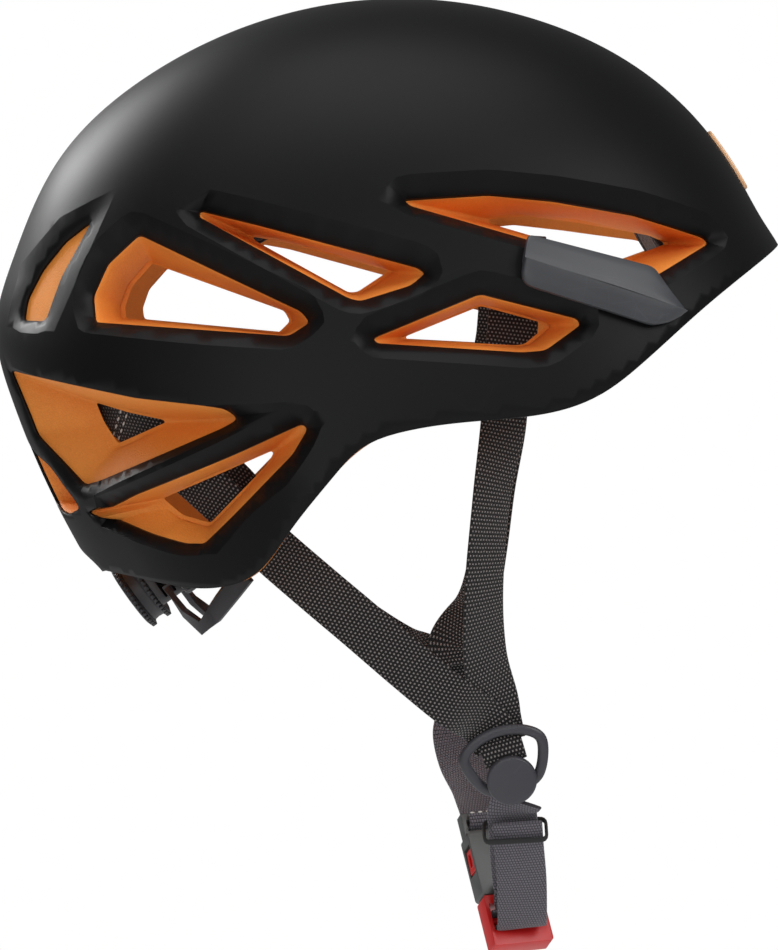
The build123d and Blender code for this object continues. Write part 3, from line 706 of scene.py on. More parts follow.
def moulded(name, colour, roughness, grain_mm=0.5, depth_mm=0.02, lift=1.35, scuffs=0.25, specular=0.5):
    """Moulded plastic: fine grain, slow unevenness and a few light scuffs."""
    found = bpy.data.materials.get(name)
    if found:
        return found
    material, tree, shader, place = started(name)
    grain = grouped(tree, group_of("moulded_grain", grain_group),
                    {"Place": place, "Grain size": grain_mm * MM, "Patch size": 0.018})
    scuff = grouped(tree, group_of("light_scuffs", scuff_group), {"Place": place, "Amount": scuffs})
    base = mixed(tree, grain.outputs["Patches"], [c * 0.86 for c in colour], [c * 1.14 for c in colour])
    worn = mixed(tree, scuff.outputs["Mask"], base, [min(c * lift + 0.02, 1) for c in colour])
    tree.links.new(worn, shader.inputs["Base Color"])
    rough = maths(tree, "MULTIPLY_ADD", grain.outputs["Patches"], 0.16, roughness - 0.08)
    tree.links.new(maths(tree, "MULTIPLY_ADD", scuff.outputs["Mask"], 0.2, rough), shader.inputs["Roughness"])
    shader.inputs["Specular IOR Level"].default_value = specular
    bumped(tree, shader, grain.outputs["Height"], depth_mm * MM)
    return material


def foam_material(colour):
    """Bead foam: packed cells with darker seams between them and a matt, slightly waxy face."""
    found = bpy.data.materials.get("bead_foam")
    if found:
        return found
    material, tree, shader, place = started("bead_foam")
    beads = {"Vector": place, "Scale": 780.0, "Randomness": 0.9}
    cells = node(tree, "ShaderNodeTexVoronoi", beads, feature="DISTANCE_TO_EDGE")
    each = node(tree, "ShaderNodeTexVoronoi", beads)
    seam = maths(tree, "SUBTRACT", 1.0, maths(tree, "MULTIPLY", cells.outputs["Distance"], 9.0, clamp=True))
    slow = node(tree, "ShaderNodeTexNoise", {"Vector": place, "Scale": 34.0, "Detail": 5.0, "Roughness": 0.6})
    sparkle = node(tree, "ShaderNodeTexNoise", {"Vector": place, "Scale": 1500.0, "Detail": 2.0})
    specks = maths(tree, "GREATER_THAN", sparkle.outputs["Fac"], 0.66)
    base = mixed(tree, slow.outputs["Fac"], [c * 0.78 for c in colour], [min(c * 1.2, 1) for c in colour])
    pale = [min(c * 1.3 + 0.03, 1) for c in colour]
    tinted = mixed(tree, maths(tree, "MULTIPLY", each.outputs["Distance"], 0.3), base, pale)
    dotted = mixed(tree, maths(tree, "MULTIPLY", specks, 0.45), tinted, pale)
    seams = mixed(tree, maths(tree, "MULTIPLY", seam, 0.16), dotted, [c * 0.5 for c in colour])
    tree.links.new(seams, shader.inputs["Base Color"])
    tree.links.new(maths(tree, "MULTIPLY_ADD", slow.outputs["Fac"], 0.2, 0.5), shader.inputs["Roughness"])
    shader.inputs["Specular IOR Level"].default_value = 0.35
    bumped(tree, shader, maths(tree, "SUBTRACT", 1.0, seam), 0.00008, 0.7)
    return material


def webbing_material(name, dark, light, row_mm, dash_mm, share, slant, strength, sheen=0.3, depth_mm=0.35):
    found = bpy.data.materials.get(name)
    if found:
        return found
    material, tree, shader, _ = started(name)
    strap_uv = node(tree, "ShaderNodeUVMap", uv_map="strap").outputs[0]
    weave = grouped(tree, group_of("webbing_weave", weave_group), {
        "UV": strap_uv, "Row pitch": row_mm * MM, "Dash pitch": dash_mm * MM, "Slant": slant,
        "Dash share": share})
    dash = maths(tree, "MULTIPLY", weave.outputs["Dashes"], strength)
    fuzzy = mixed(tree, weave.outputs["Fuzz"], [c * 0.6 for c in dark], [c * 1.5 for c in dark])
    pale = mixed(tree, weave.outputs["Fuzz"], [c * 0.6 for c in light], [min(c * 1.35, 1) for c in light])
    tree.links.new(mixed(tree, dash, fuzzy, pale), shader.inputs["Base Color"])
    tree.links.new(maths(tree, "MULTIPLY_ADD", weave.outputs["Fuzz"], 0.2, 0.62), shader.inputs["Roughness"])
    shader.inputs["Specular IOR Level"].default_value = 0.25
    shader.inputs["Sheen Weight"].default_value = sheen
    shader.inputs["Sheen Roughness"].default_value = 0.4
    bumped(tree, shader, weave.outputs["Height"], depth_mm * MM, 0.9)
    return material


def knit_material(name, colour):
    """Fine knit over a pad: small staggered loops with a soft sheen."""
    found = bpy.data.materials.get(name)
    if found:
        return found
    material, tree, shader, place = started(name)
    loops = node(tree, "ShaderNodeTexVoronoi", {"Vector": place, "Scale": 850.0, "Randomness": 0.35})
    fibre = node(tree, "ShaderNodeTexNoise", {"Vector": place, "Scale": 3200.0, "Detail": 2.0})
    slow = node(tree, "ShaderNodeTexNoise", {"Vector": place, "Scale": 60.0, "Detail": 3.0})
    fluff = maths(tree, "MULTIPLY", fibre.outputs["Fac"], 0.3)
    height = maths(tree, "SUBTRACT", fluff, loops.outputs["Distance"])
    base = mixed(tree, slow.outputs["Fac"], [c * 0.7 for c in colour], [c * 1.3 for c in colour])
    dots = mixed(tree, maths(tree, "MULTIPLY", loops.outputs["Distance"], 1.1, clamp=True), base,
                 [c * 0.25 for c in colour])
    tree.links.new(dots, shader.inputs["Base Color"])
    tree.links.new(maths(tree, "MULTIPLY_ADD", fibre.outputs["Fac"], 0.2, 0.7), shader.inputs["Roughness"])
    shader.inputs["Sheen Weight"].default_value = 0.4
    bumped(tree, shader, height, 0.0004)
    return material


def skin_material(colour, wear):
    """In-moulded outer skin: satin, with a faint orange-peel and lighter rubbed patches."""
    found = bpy.data.materials.get("satin_skin")
    if found:
        return found
    material, tree, shader, place = started("satin_skin")
    grain = grouped(tree, group_of("moulded_grain", grain_group),
                    {"Place": place, "Grain size": 0.0022, "Patch size": 0.05})
    scuff = grouped(tree, group_of("light_scuffs", scuff_group),
                    {"Place": place, "Size": 0.05, "Amount": wear})
    base = mixed(tree, grain.outputs["Patches"], [c * 0.9 for c in colour], [c * 1.12 for c in colour])
    worn = mixed(tree, scuff.outputs["Mask"], base, [c * 1.8 + 0.004 for c in colour])
    tree.links.new(worn, shader.inputs["Base Color"])
    rough = maths(tree, "MULTIPLY_ADD", grain.outputs["Patches"], 0.1, 0.4)
    worn_rough = maths(tree, "MULTIPLY_ADD", scuff.outputs["Mask"], 0.25, rough)
    tree.links.new(worn_rough, shader.inputs["Roughness"])
    shader.inputs["Specular IOR Level"].default_value = 0.17
    bumped(tree, shader, grain.outputs["Height"], 0.00002, 0.5)
    return material


# ---------------------------------------------------------------- straps

def unit(v):
    v = np.asarray(v, float)
    return v / np.linalg.norm(v)


def through(points, step):
    """Smooth path through points and their face normals, at even steps."""
    places = np.array([p for p, _ in points], float)
    faces = np.array([unit(f) for _, f in points])
    gaps = np.maximum(np.sqrt(np.linalg.norm(np.diff(places, axis=0), axis=1)), 1e-6)
    knots = np.concatenate([[0], np.cumsum(gaps)])
    tangents = np.zeros_like(places)
    turning = np.zeros_like(faces)
    for i in range(len(knots)):
        lo, hi = max(i - 1, 0), min(i + 1, len(knots) - 1)
        tangents[i] = (places[hi] - places[lo]) / (knots[hi] - knots[lo])
        turning[i] = (faces[hi] - faces[lo]) / (knots[hi] - knots[lo])
    dense_p, dense_f = [], []
    for i in range(len(knots) - 1):
        h = knots[i + 1] - knots[i]
        for t in np.linspace(0, 1, 24, endpoint=i == len(knots) - 2):
            a, b = 2 * t ** 3 - 3 * t * t + 1, t ** 3 - 2 * t * t + t
            c, d = -2 * t ** 3 + 3 * t * t, t ** 3 - t * t
            dense_p.append(a * places[i] + b * h * tangents[i] + c * places[i + 1] + d * h * tangents[i + 1])
            dense_f.append(a * faces[i] + b * h * turning[i] + c * faces[i + 1] + d * h * turning[i + 1])
    dense_p, dense_f = np.array(dense_p), np.array(dense_f)
    run = np.concatenate([[0], np.cumsum(np.linalg.norm(np.diff(dense_p, axis=0), axis=1))])
    at = np.linspace(0, run[-1], max(int(run[-1] / step), 2) + 1)
    path = np.stack([np.interp(at, run, dense_p[:, i]) for i in range(3)], -1)
    face = np.stack([np.interp(at, run, dense_f[:, i]) for i in range(3)], -1)
    return path, face, at


def strip_frames(path, face):
    """Across and out directions along a path."""
    along = np.gradient(path, axis=0)
    along /= np.linalg.norm(along, axis=1)[:, None]
    across = np.cross(along, face)
    across /= np.linalg.norm(across, axis=1)[:, None]
    out = np.cross(across, along)
    return along, across, out


def strip(name, stations, width, thick, step=1.6, cup=0.0):
    """Webbing with rounded edges along its stations, with a UV map in metres called strap."""
    path, face, at = through(stations, step)
    _, across, out = strip_frames(path, face)
    half = thick / 2
    section = []
    sides = np.linspace(-1, 1, 9)
    for s in sides:
        section.append((s * (width / 2 - half * 0.8), half * (1 - 0.25 * abs(s) ** 6), s))
    for a in np.linspace(65, -65, 4):
        section.append((width / 2 - half * 0.8 + half * 0.8 * math.cos(math.radians(a)),
                        half * 0.8 * math.sin(math.radians(a)), 1.0))
    for s in sides[::-1]:
        section.append((s * (width / 2 - half * 0.8), -half * (1 - 0.25 * abs(s) ** 6), s))
    for a in np.linspace(-65, 65, 4):
        section.append((-width / 2 + half * 0.8 - half * 0.8 * math.cos(math.radians(a)),
                        half * 0.8 * math.sin(math.radians(a)), -1.0))
    section = np.array(section)
    parts = MeshParts()
    rows, uv = [], []
    for i in range(len(path)):
        bow = cup * (section[:, 0] / (width / 2)) ** 2
        ring = path[i] + np.outer(section[:, 0], across[i]) + np.outer(section[:, 1] - bow, out[i])
        rows.append(parts.add(ring))
        uv.extend((s, at[i]) for s in section[:, 0])
    parts.rows(rows)
    parts.cap(rows[0], flip=True)
    parts.cap(rows[-1])
    obj = parts.make(name, merge=0.0001, smooth_angle=50)
    layer = obj.data.uv_layers.new(name="strap")
    index = np.zeros(len(obj.data.loops), int)
    obj.data.loops.foreach_get("vertex_index", index)
    uv = np.array(uv) * MM
    layer.data.foreach_set("uv", uv[index].astype(np.float32).ravel())
    return obj


def wall_normals(points, head=True):
    here, dx, dz = (wall(*from_side(np.array(points) + shift, 0, head), 0, head)
                    for shift in ((0, 0), (1, 0), (0, 1)))
    normal = np.cross(dx - here, dz - here)
    normal /= np.linalg.norm(normal, axis=1)[:, None]
    return np.where(normal[:, 1:2] < 0, normal, -normal)


def laid_inside(points, side):
    """Stations of a strap that lies on the head side of the foam."""
    places = wall(*from_side(points, WEB_CLEAR, True), WEB_CLEAR, True)
    flip = np.array([1, -side, 1])
    return [(p * flip, n * flip) for p, n in zip(places, wall_normals(points))]


def turned(points, degrees, side):
    return [(np.array(p), np.array([math.sin(math.radians(d)), side * math.cos(math.radians(d)), 0]))
            for p, d in zip(points, degrees)]


def at_divider(points, spec):
    origin, across, out = (np.array(part, float) for part in spec)
    up = np.cross(across, out) if out[1] > 0 else np.cross(out, across)
    return [(origin + unit(across) * u + up * v + unit(out) * n, out) for u, v, n in points]


class Plane3:
    """Local frame of a part, as the CAD model has it."""

    def __init__(self, origin, x_dir, z_dir):
        self.o = np.array(origin, float)
        self.z = unit(z_dir)
        x = np.array(x_dir, float)
        self.x = unit(x - self.z * (x @ self.z))
        self.y = np.cross(self.z, self.x)

    def at(self, points):
        points = np.asarray(points, float)
        return self.o + points @ np.array([self.x, self.y, self.z])


BUCKLE = Plane3(BUCKLE_O, BUCKLE_W, BUCKLE_N)
RATCHET = Plane3(WHEEL_O, (0, 1, 0), WHEEL_N)


def softened(name, nodes, width_mm, segments=3, angle=32, dissolve=0.6):
    """A CAD solid with its sharp edges rounded over, as a mesh that replaces it."""
    source = [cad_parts[n] for n in nodes]
    work = bmesh.new()
    for item in source:
        work.from_mesh(item.data)
    bmesh.ops.remove_doubles(work, verts=work.verts, dist=0.002 * MM)
    bmesh.ops.dissolve_limit(work, angle_limit=math.radians(dissolve), verts=work.verts, edges=work.edges)
    mesh = bpy.data.meshes.new(name)
    for face in work.faces:
        face.smooth = True
    work.to_mesh(mesh)
    work.free()
    obj = bpy.data.objects.new(name, mesh)
    bpy.context.scene.collection.objects.link(obj)
    bevel = obj.modifiers.new("edges", "BEVEL")
    bevel.width = width_mm * MM
    bevel.segments = segments
    bevel.limit_method = "ANGLE"
    bevel.angle_limit = math.radians(angle)
    bevel.harden_normals = True
    return plain(obj)


def tube(name, path, out, half_wide, half_thick, sides=14):
    """Closed loop of an oval section; out is the direction that the thickness faces."""
    path = np.asarray(path, float)
    along = np.roll(path, -1, 0) - np.roll(path, 1, 0)
    along /= np.linalg.norm(along, axis=1)[:, None]
    across = np.cross(along, out)
    across /= np.linalg.norm(across, axis=1)[:, None]
    parts = MeshParts()
    rows = []
    for a in np.linspace(0, 2 * np.pi, sides, endpoint=False):
        thick_way = np.asarray(out) * half_thick * math.sin(a)
        rows.append(parts.add(path + across * half_wide * math.cos(a) + thick_way))
    parts.rows(rows + rows[:1])
    return parts.make(name, merge=0.0001)


def closed_curve(points, count):
    """Smooth closed line through points, at even steps."""
    p = np.asarray(points, float)
    dense = []
    for i in range(len(p)):
        a, b, c, d = p[i - 1], p[i], p[(i + 1) % len(p)], p[(i + 2) % len(p)]
        for t in np.linspace(0, 1, 20, endpoint=False):
            dense.append(0.5 * (2 * b + (c - a) * t + (2 * a - 5 * b + 4 * c - d) * t * t
                                + (3 * b - a - 3 * c + d) * t ** 3))
    dense = np.array(dense + dense[:1])
    run = np.concatenate([[0], np.cumsum(np.linalg.norm(np.diff(dense, axis=0), axis=1))])
    at = np.linspace(0, run[-1], count, endpoint=False)
    return np.stack([np.interp(at, run, dense[:, i]) for i in range(dense.shape[1])], -1)


def new_tree(name, inputs):
    """Empty Geometry Nodes tree, as (tree, given sockets, last node)."""
    tree = bpy.data.node_groups.new(name, "GeometryNodeTree")
    tree.interface.new_socket("Geometry", in_out="INPUT", socket_type="NodeSocketGeometry")
    for label, kind, value in inputs:
        socket = tree.interface.new_socket(label, in_out="INPUT", socket_type=kind)
        if value is not None:
            socket.default_value = value
    tree.interface.new_socket("Geometry", in_out="OUTPUT", socket_type="NodeSocketGeometry")
    return tree, tree.nodes.new("NodeGroupInput").outputs, tree.nodes.new("NodeGroupOutput")


def placed_and_finished(tree, given, last, points, shape, rotation):
    """Ends a tree: the shape on each point, realised, with its material."""
    placed = node(tree, "GeometryNodeInstanceOnPoints", {"Points": points, "Instance": shape,
                                                         "Rotation": rotation})
    real = node(tree, "GeometryNodeRealizeInstances", {"Geometry": placed.outputs[0]})
    done = node(tree, "GeometryNodeSetMaterial", {"Geometry": real.outputs[0], "Material": given["Material"]})
    tree.links.new(done.outputs[0], last.inputs[0])
    return tree


def stitch_tree():
    """Thread along a line: one short rounded stitch at each pitch, lying along the line."""
    tree, given, last = new_tree("stitch_rows", [
        ("Pitch", "NodeSocketFloat", 0.0026), ("Thread", "NodeSocketFloat", 0.0007),
        ("Length", "NodeSocketFloat", 0.0017), ("Material", "NodeSocketMaterial", None)])
    line = node(tree, "GeometryNodeMeshToCurve", {0: given["Geometry"]})
    even = node(tree, "GeometryNodeResampleCurve", {"Curve": line.outputs[0], "Length": given["Pitch"]},
                mode="LENGTH")
    ball = node(tree, "GeometryNodeMeshUVSphere", {"Segments": 8, "Rings": 5, "Radius": 0.5})
    size = node(tree, "ShaderNodeCombineXYZ", {"X": given["Thread"], "Y": given["Thread"],
                                                 "Z": given["Length"]})
    shaped = node(tree, "GeometryNodeTransform", {"Geometry": ball.outputs[0], "Scale": size.outputs[0]})
    tangent = node(tree, "GeometryNodeInputTangent")
    facing = node(tree, "FunctionNodeAlignRotationToVector", {"Vector": tangent.outputs[0]}, axis="Z")
    return placed_and_finished(tree, given, last, even.outputs[0], shaped.outputs[0], facing.outputs[0])


def teeth_tree():
    """Grip teeth round a rim: a count of small blocks on a circle about local Z."""
    tree, given, last = new_tree("rim_teeth", [
        ("Teeth", "NodeSocketInt", 40), ("Radius", "NodeSocketFloat", 0.013),
        ("Tooth size", "NodeSocketVector", (0.0012, 0.0011, 0.0015)), ("Centre", "NodeSocketVector", None),
        ("Turn", "NodeSocketRotation", None), ("Material", "NodeSocketMaterial", None)])
    circle = node(tree, "GeometryNodeMeshCircle", {"Vertices": given["Teeth"], "Radius": given["Radius"]})
    block = node(tree, "GeometryNodeMeshCube", {"Size": given["Tooth size"]})
    spot = node(tree, "GeometryNodeInputPosition")
    facing = node(tree, "FunctionNodeAlignRotationToVector", {"Vector": spot.outputs[0]}, axis="X")
    placed = node(tree, "GeometryNodeInstanceOnPoints", {"Points": circle.outputs[0],
                                                         "Instance": block.outputs[0],
                                                         "Rotation": facing.outputs[0]})
    real = node(tree, "GeometryNodeRealizeInstances", {"Geometry": placed.outputs[0]})
    put = node(tree, "GeometryNodeTransform", {"Geometry": real.outputs[0], "Translation": given["Centre"],
                                               "Rotation": given["Turn"]})
    done = node(tree, "GeometryNodeSetMaterial", {"Geometry": put.outputs[0], "Material": given["Material"]})
    tree.links.new(done.outputs[0], last.inputs[0])
    return tree


def repeated(name, mesh, tree, values):
    """Runs a Geometry Nodes tree on a mesh and keeps the result as a plain mesh."""
    obj = bpy.data.objects.new(name, mesh)
    bpy.context.scene.collection.objects.link(obj)
    run = obj.modifiers.new("repeat", "NODES")
    run.node_group = tree
    for item in tree.interface.items_tree:
        if item.in_out == "INPUT" and item.name in values:
            run[item.identifier] = values[item.name]
    plain(obj)
    for face in obj.data.polygons:
        face.use_smooth = True
    return obj


def stitched(name, lines, thread, pitch_mm):
    """Rows of stitches along lines of points in millimetres."""
    points, edges = [], []
    for line in lines:
        first = len(points)
        points.extend((np.asarray(line) * MM).tolist())
        edges.extend((first + i, first + i + 1) for i in range(len(line) - 1))
    mesh = bpy.data.meshes.new(name)
    mesh.from_pydata(points, edges, [])
    return repeated(name, mesh, group_of("stitch_rows", stitch_tree),
                    {"Pitch": pitch_mm * MM, "Length": pitch_mm * 0.66 * MM, "Material": thread})


def rows_across(stations, width, thick, at, step=1.6):
    """Lines across a strap, just on its outer face, at distances from its start in millimetres."""
    path, face, run = through(stations, step)
    _, across, out = strip_frames(path, face)
    lines = []
    for where in at:
        i = int(np.argmin(np.abs(run - where)))
        centre = path[i] + out[i] * (thick / 2 + 0.12)
        lines.append([centre + across[i] * width * s for s in (-0.42, 0, 0.42)])
    return lines


# ---------------------------------------------------------------- settings

def colour_of(label, linear):
    """A finish colour that a user may change."""
    return FloatVectorProperty(name=label, description=f"Colour of the finish: {label.lower()}",
                               subtype="COLOR", default=linear, min=0, max=1)


class HelmetSizes(bpy.types.PropertyGroup):
    """Sizes that a user may change; everything else comes from the CAD model."""

    skin: FloatProperty(name="Skin", description="Thickness of the outer skin, mm",
                        default=1.2, min=0.8, max=2.0)
    spacing: FloatProperty(name="Mesh spacing", description="Spacing of the wall mesh, chart units",
                           default=1.5, min=1.0, max=3.0)
    lip: FloatProperty(name="Foam lip", description="Rounding of the foam at a vent, mm",
                       default=1.4, min=0.2, max=3.0)
    edge: FloatProperty(name="Edge round", description="Rounding of moulded edges, mm",
                        default=0.45, min=0.1, max=1.0)
    teeth: IntProperty(name="Wheel teeth", description="Grip teeth round the ratchet wheel",
                       default=40, min=12, max=80)
    stitch: FloatProperty(name="Stitch pitch", description="Distance between stitches, mm",
                          default=2.6, min=1.5, max=5.0)


class HelmetColours(bpy.types.PropertyGroup):
    """Colours of the finishes, as linear colours."""

    skin: colour_of("Skin", tone(13, 13, 14))
    foam: colour_of("Foam", tone(255, 146, 58))
    badge: colour_of("Badge", tone(245, 190, 140))
    clip: colour_of("Clips", tone(62, 63, 67))
    pad: colour_of("Pads", tone(34, 34, 37))
    harness_dark: colour_of("Harness ground", tone(22, 20, 20))
    harness_light: colour_of("Harness dashes", tone(150, 144, 142))
    chin_light: colour_of("Chin webbing", tone(116, 112, 120))
    chin_dark: colour_of("Chin webbing dots", tone(52, 49, 54))
    divider: colour_of("Dividers", tone(60, 60, 66))
    buckle_grey: colour_of("Buckle socket", tone(76, 79, 78))
    buckle_red: colour_of("Buckle plug", tone(204, 24, 24))
    thread: colour_of("Thread", tone(214, 210, 204))
    ratchet: colour_of("Ratchet", tone(46, 46, 50))


def sizes():
    return bpy.context.scene.helmet_sizes


def colours():
    return bpy.context.scene.helmet_colours


# ---------------------------------------------------------------- operators

def creases():
    """Lines along which the skin turns sharply."""
    made = [(DIP.rings[name], True) for name in ("side_rear", "upper_rear", "upper_front", "side_front",
                                                "nape_lower", "rear_slot")]
    made.append((to_chart(*from_side(subdivided(DIPS["nape_upper"][:3], 4, closed=False))), False))
    for lower in (0.0, 2.6):
        xs = np.linspace(-136, -38, 40)
        line = np.stack([xs, ledge_z(xs) - lower], -1)
        line = line[np.hypot(*line.T) < CROWN_RADIUS(full_angle(*line.T)) - 1.5]
        made.append((to_chart(*from_side(line)), False))
    return made


class HELMET_OT_skin(bpy.types.Operator):
    """Outer skin: one wall with its vents, dips, ledge and rolled edges"""

    bl_idname = "helmet.skin"
    bl_label = "Outer skin"

    def execute(self, context):
        size = sizes()
        loops = [DIP.mouths[name] for name in DIPS] + [nape_loop(1.0, 0.0, False)]
        half = HalfWall(rim_line(0), loops, creases(), size.spacing)
        angle, tilt = from_chart(half.chart)
        depth = DIP.depth(half.chart)
        parts = MeshParts()
        outer = parts.add(wall(angle, tilt, depth))
        inner = parts.add(wall(angle, tilt, depth + size.skin))
        parts.tris(outer, half.tris)
        parts.tris(inner, half.tris, flip=True)
        for line, closed in [(loop, True) for loop in half.loops] + [(half.rim, False)]:
            parts.rows([outer[line], inner[line]], closed)
        parts.sharp = [(outer[a], outer[b]) for a, b in half.creases]
        obj = parts.make("crown_skin", mirror=True)
        finish_piece(obj, skin_material(colours().skin, 0.12), "helmet", ["outer_shell"])
        return {"FINISHED"}


class HELMET_OT_foam(bpy.types.Operator):
    """Foam liner: bead foam with bevelled vent walls through to the head side"""

    bl_idname = "helmet.foam"
    bl_label = "Foam liner"

    def execute(self, context):
        size = sizes()
        under = size.skin + 0.15
        pairs = [paired_loops(name) for name in VENTS]
        pairs.append((nape_loop(0.97, under, False), nape_loop(0.85, 0, True)))
        outer_rim = rim_line(-0.8, under, proud=1.3)
        outer_half = HalfWall(outer_rim, [a for a, _ in pairs], creases(), size.spacing)
        inner_half = HalfWall(rim_line(-0.8, 0, True), [b for _, b in pairs], [], size.spacing * 1.2)
        parts = MeshParts()
        outer_at = wall(*from_chart(outer_half.chart), DIP.depth(outer_half.chart) + under)
        inner_at = wall(*from_chart(inner_half.chart), 0, True)
        outer, inner = parts.add(outer_at), parts.add(inner_at)
        parts.tris(outer, outer_half.tris)
        parts.tris(inner, inner_half.tris, flip=True)
        steps = [(0.04, 0.25), (0.1, 0.4), (0.22, 0.45), (0.4, 0.4), (0.58, 0.3), (0.76, 0.1), (0.88, -0.35),
                 (0.95, -0.9)]
        for first, last in zip(outer_half.loops, inner_half.loops):
            a, b = outer_at[first], inner_at[last]
            centre_a, centre_b = a.mean(axis=0), b.mean(axis=0)
            rows = [outer[first]]
            for share, pull in steps:
                ring = a + (b - a) * share
                centre = centre_a + (centre_b - centre_a) * share
                inwards = centre - ring
                inwards /= np.linalg.norm(inwards, axis=1)[:, None]
                rows.append(parts.add(ring + inwards * pull * size.lip))
            rows.append(inner[last])
            parts.rows(rows)
        a, b = outer_at[outer_half.rim], inner_at[inner_half.rim]
        rows = [outer[outer_half.rim]]
        for share in (0.05, 0.12, 0.25, 0.4, 0.55, 0.7, 0.85, 0.95):
            sag = 0.5 * math.sqrt(1 - (2 * share - 1) ** 4)
            rows.append(parts.add(a + (b - a) * share - [0, 0, sag]))
        rows.append(inner[inner_half.rim])
        parts.rows(rows, False)
        obj = parts.make("foam_crown", mirror=True, smooth_angle=48)
        finish_piece(obj, foam_material(colours().foam), "helmet", ["foam_liner"])
        return {"FINISHED"}


def crowned_patch(name, angles, tilts, thick, gap, inset, channels=0, mirror_side=False, exponent=5.0):
    """Padded form on the head side of the foam, with a sewn border and cross channels."""
    turns, rings = 120, 26
    theta = np.linspace(0, 2 * np.pi, turns, endpoint=False)
    norm = (np.abs(np.cos(theta)) ** exponent + np.abs(np.sin(theta)) ** exponent) ** (1 / exponent)
    edge_u, edge_v = np.cos(theta) / norm, np.sin(theta) / norm
    angle_mid, angle_half = np.radians(sum(angles) / 2), np.radians((angles[1] - angles[0]) / 2)
    tilt_mid, tilt_half = np.radians(sum(tilts) / 2), np.radians((tilts[1] - tilts[0]) / 2)
    parts = MeshParts()

    def ring_at(r, rise):
        u, v = edge_u * r, edge_v * r
        return parts.add(wall(angle_mid + angle_half * u, tilt_mid + tilt_half * v, inset + rise, True))

    rows = []
    for r in np.linspace(0.12, 1.0, rings):
        dome = (1 - r ** 4) ** 0.5 * thick
        seam = 0.45 * thick * math.exp(-((r - 0.86) / 0.03) ** 2)
        u, v = edge_u * r, edge_v * r
        lift = np.full(turns, dome - seam)
        for k in range(channels):
            where = -1 + 2 * (k + 1) / (channels + 1)
            lift = lift - 0.4 * dome * np.exp(-((u - where) / 0.06) ** 2) * (r < 0.86)
        rows.append(parts.add(wall(angle_mid + angle_half * u, tilt_mid + tilt_half * v,
                                   inset + gap + np.maximum(lift, 0.25), True)))
    for r in np.linspace(1.0, 0.12, 6):
        rows.append(ring_at(r, gap))
    parts.rows(rows)
    parts.cap(rows[0], flip=True)
    parts.cap(rows[-1])
    obj = parts.make(name, merge=0.001)
    if mirror_side:
        obj.data.transform(Matrix.Diagonal((1, -1, 1, 1)))
        obj.data.flip_normals()
    return obj


class HELMET_OT_pads(bpy.types.Operator):
    """Knit-covered pads on the head side of the foam"""

    bl_idname = "helmet.pads"
    bl_label = "Pads"

    def execute(self, context):
        knit = knit_material("knit_pad", colours().pad)
        plans = [("pad_front", (37, 52), (-24, 24), 5.6, 1, False),
                 ("pad_crown", (74, 118), (-11, 11), 6.6, 3, False),
                 ("pad_nape", (146, 164), (-18, 18), 5.2, 0, False),
                 ("pad_side_right", (96, 124), (34, 47), 5.6, 1, False),
                 ("pad_side_left", (96, 124), (34, 47), 5.6, 1, True)]
        for name, angles, tilts, thick, channels, other_side in plans:
            obj = crowned_patch(name + "_soft", angles, tilts, thick, 0.3, 0.0, channels, other_side)
            finish_piece(obj, knit, "helmet", [name])
        return {"FINISHED"}


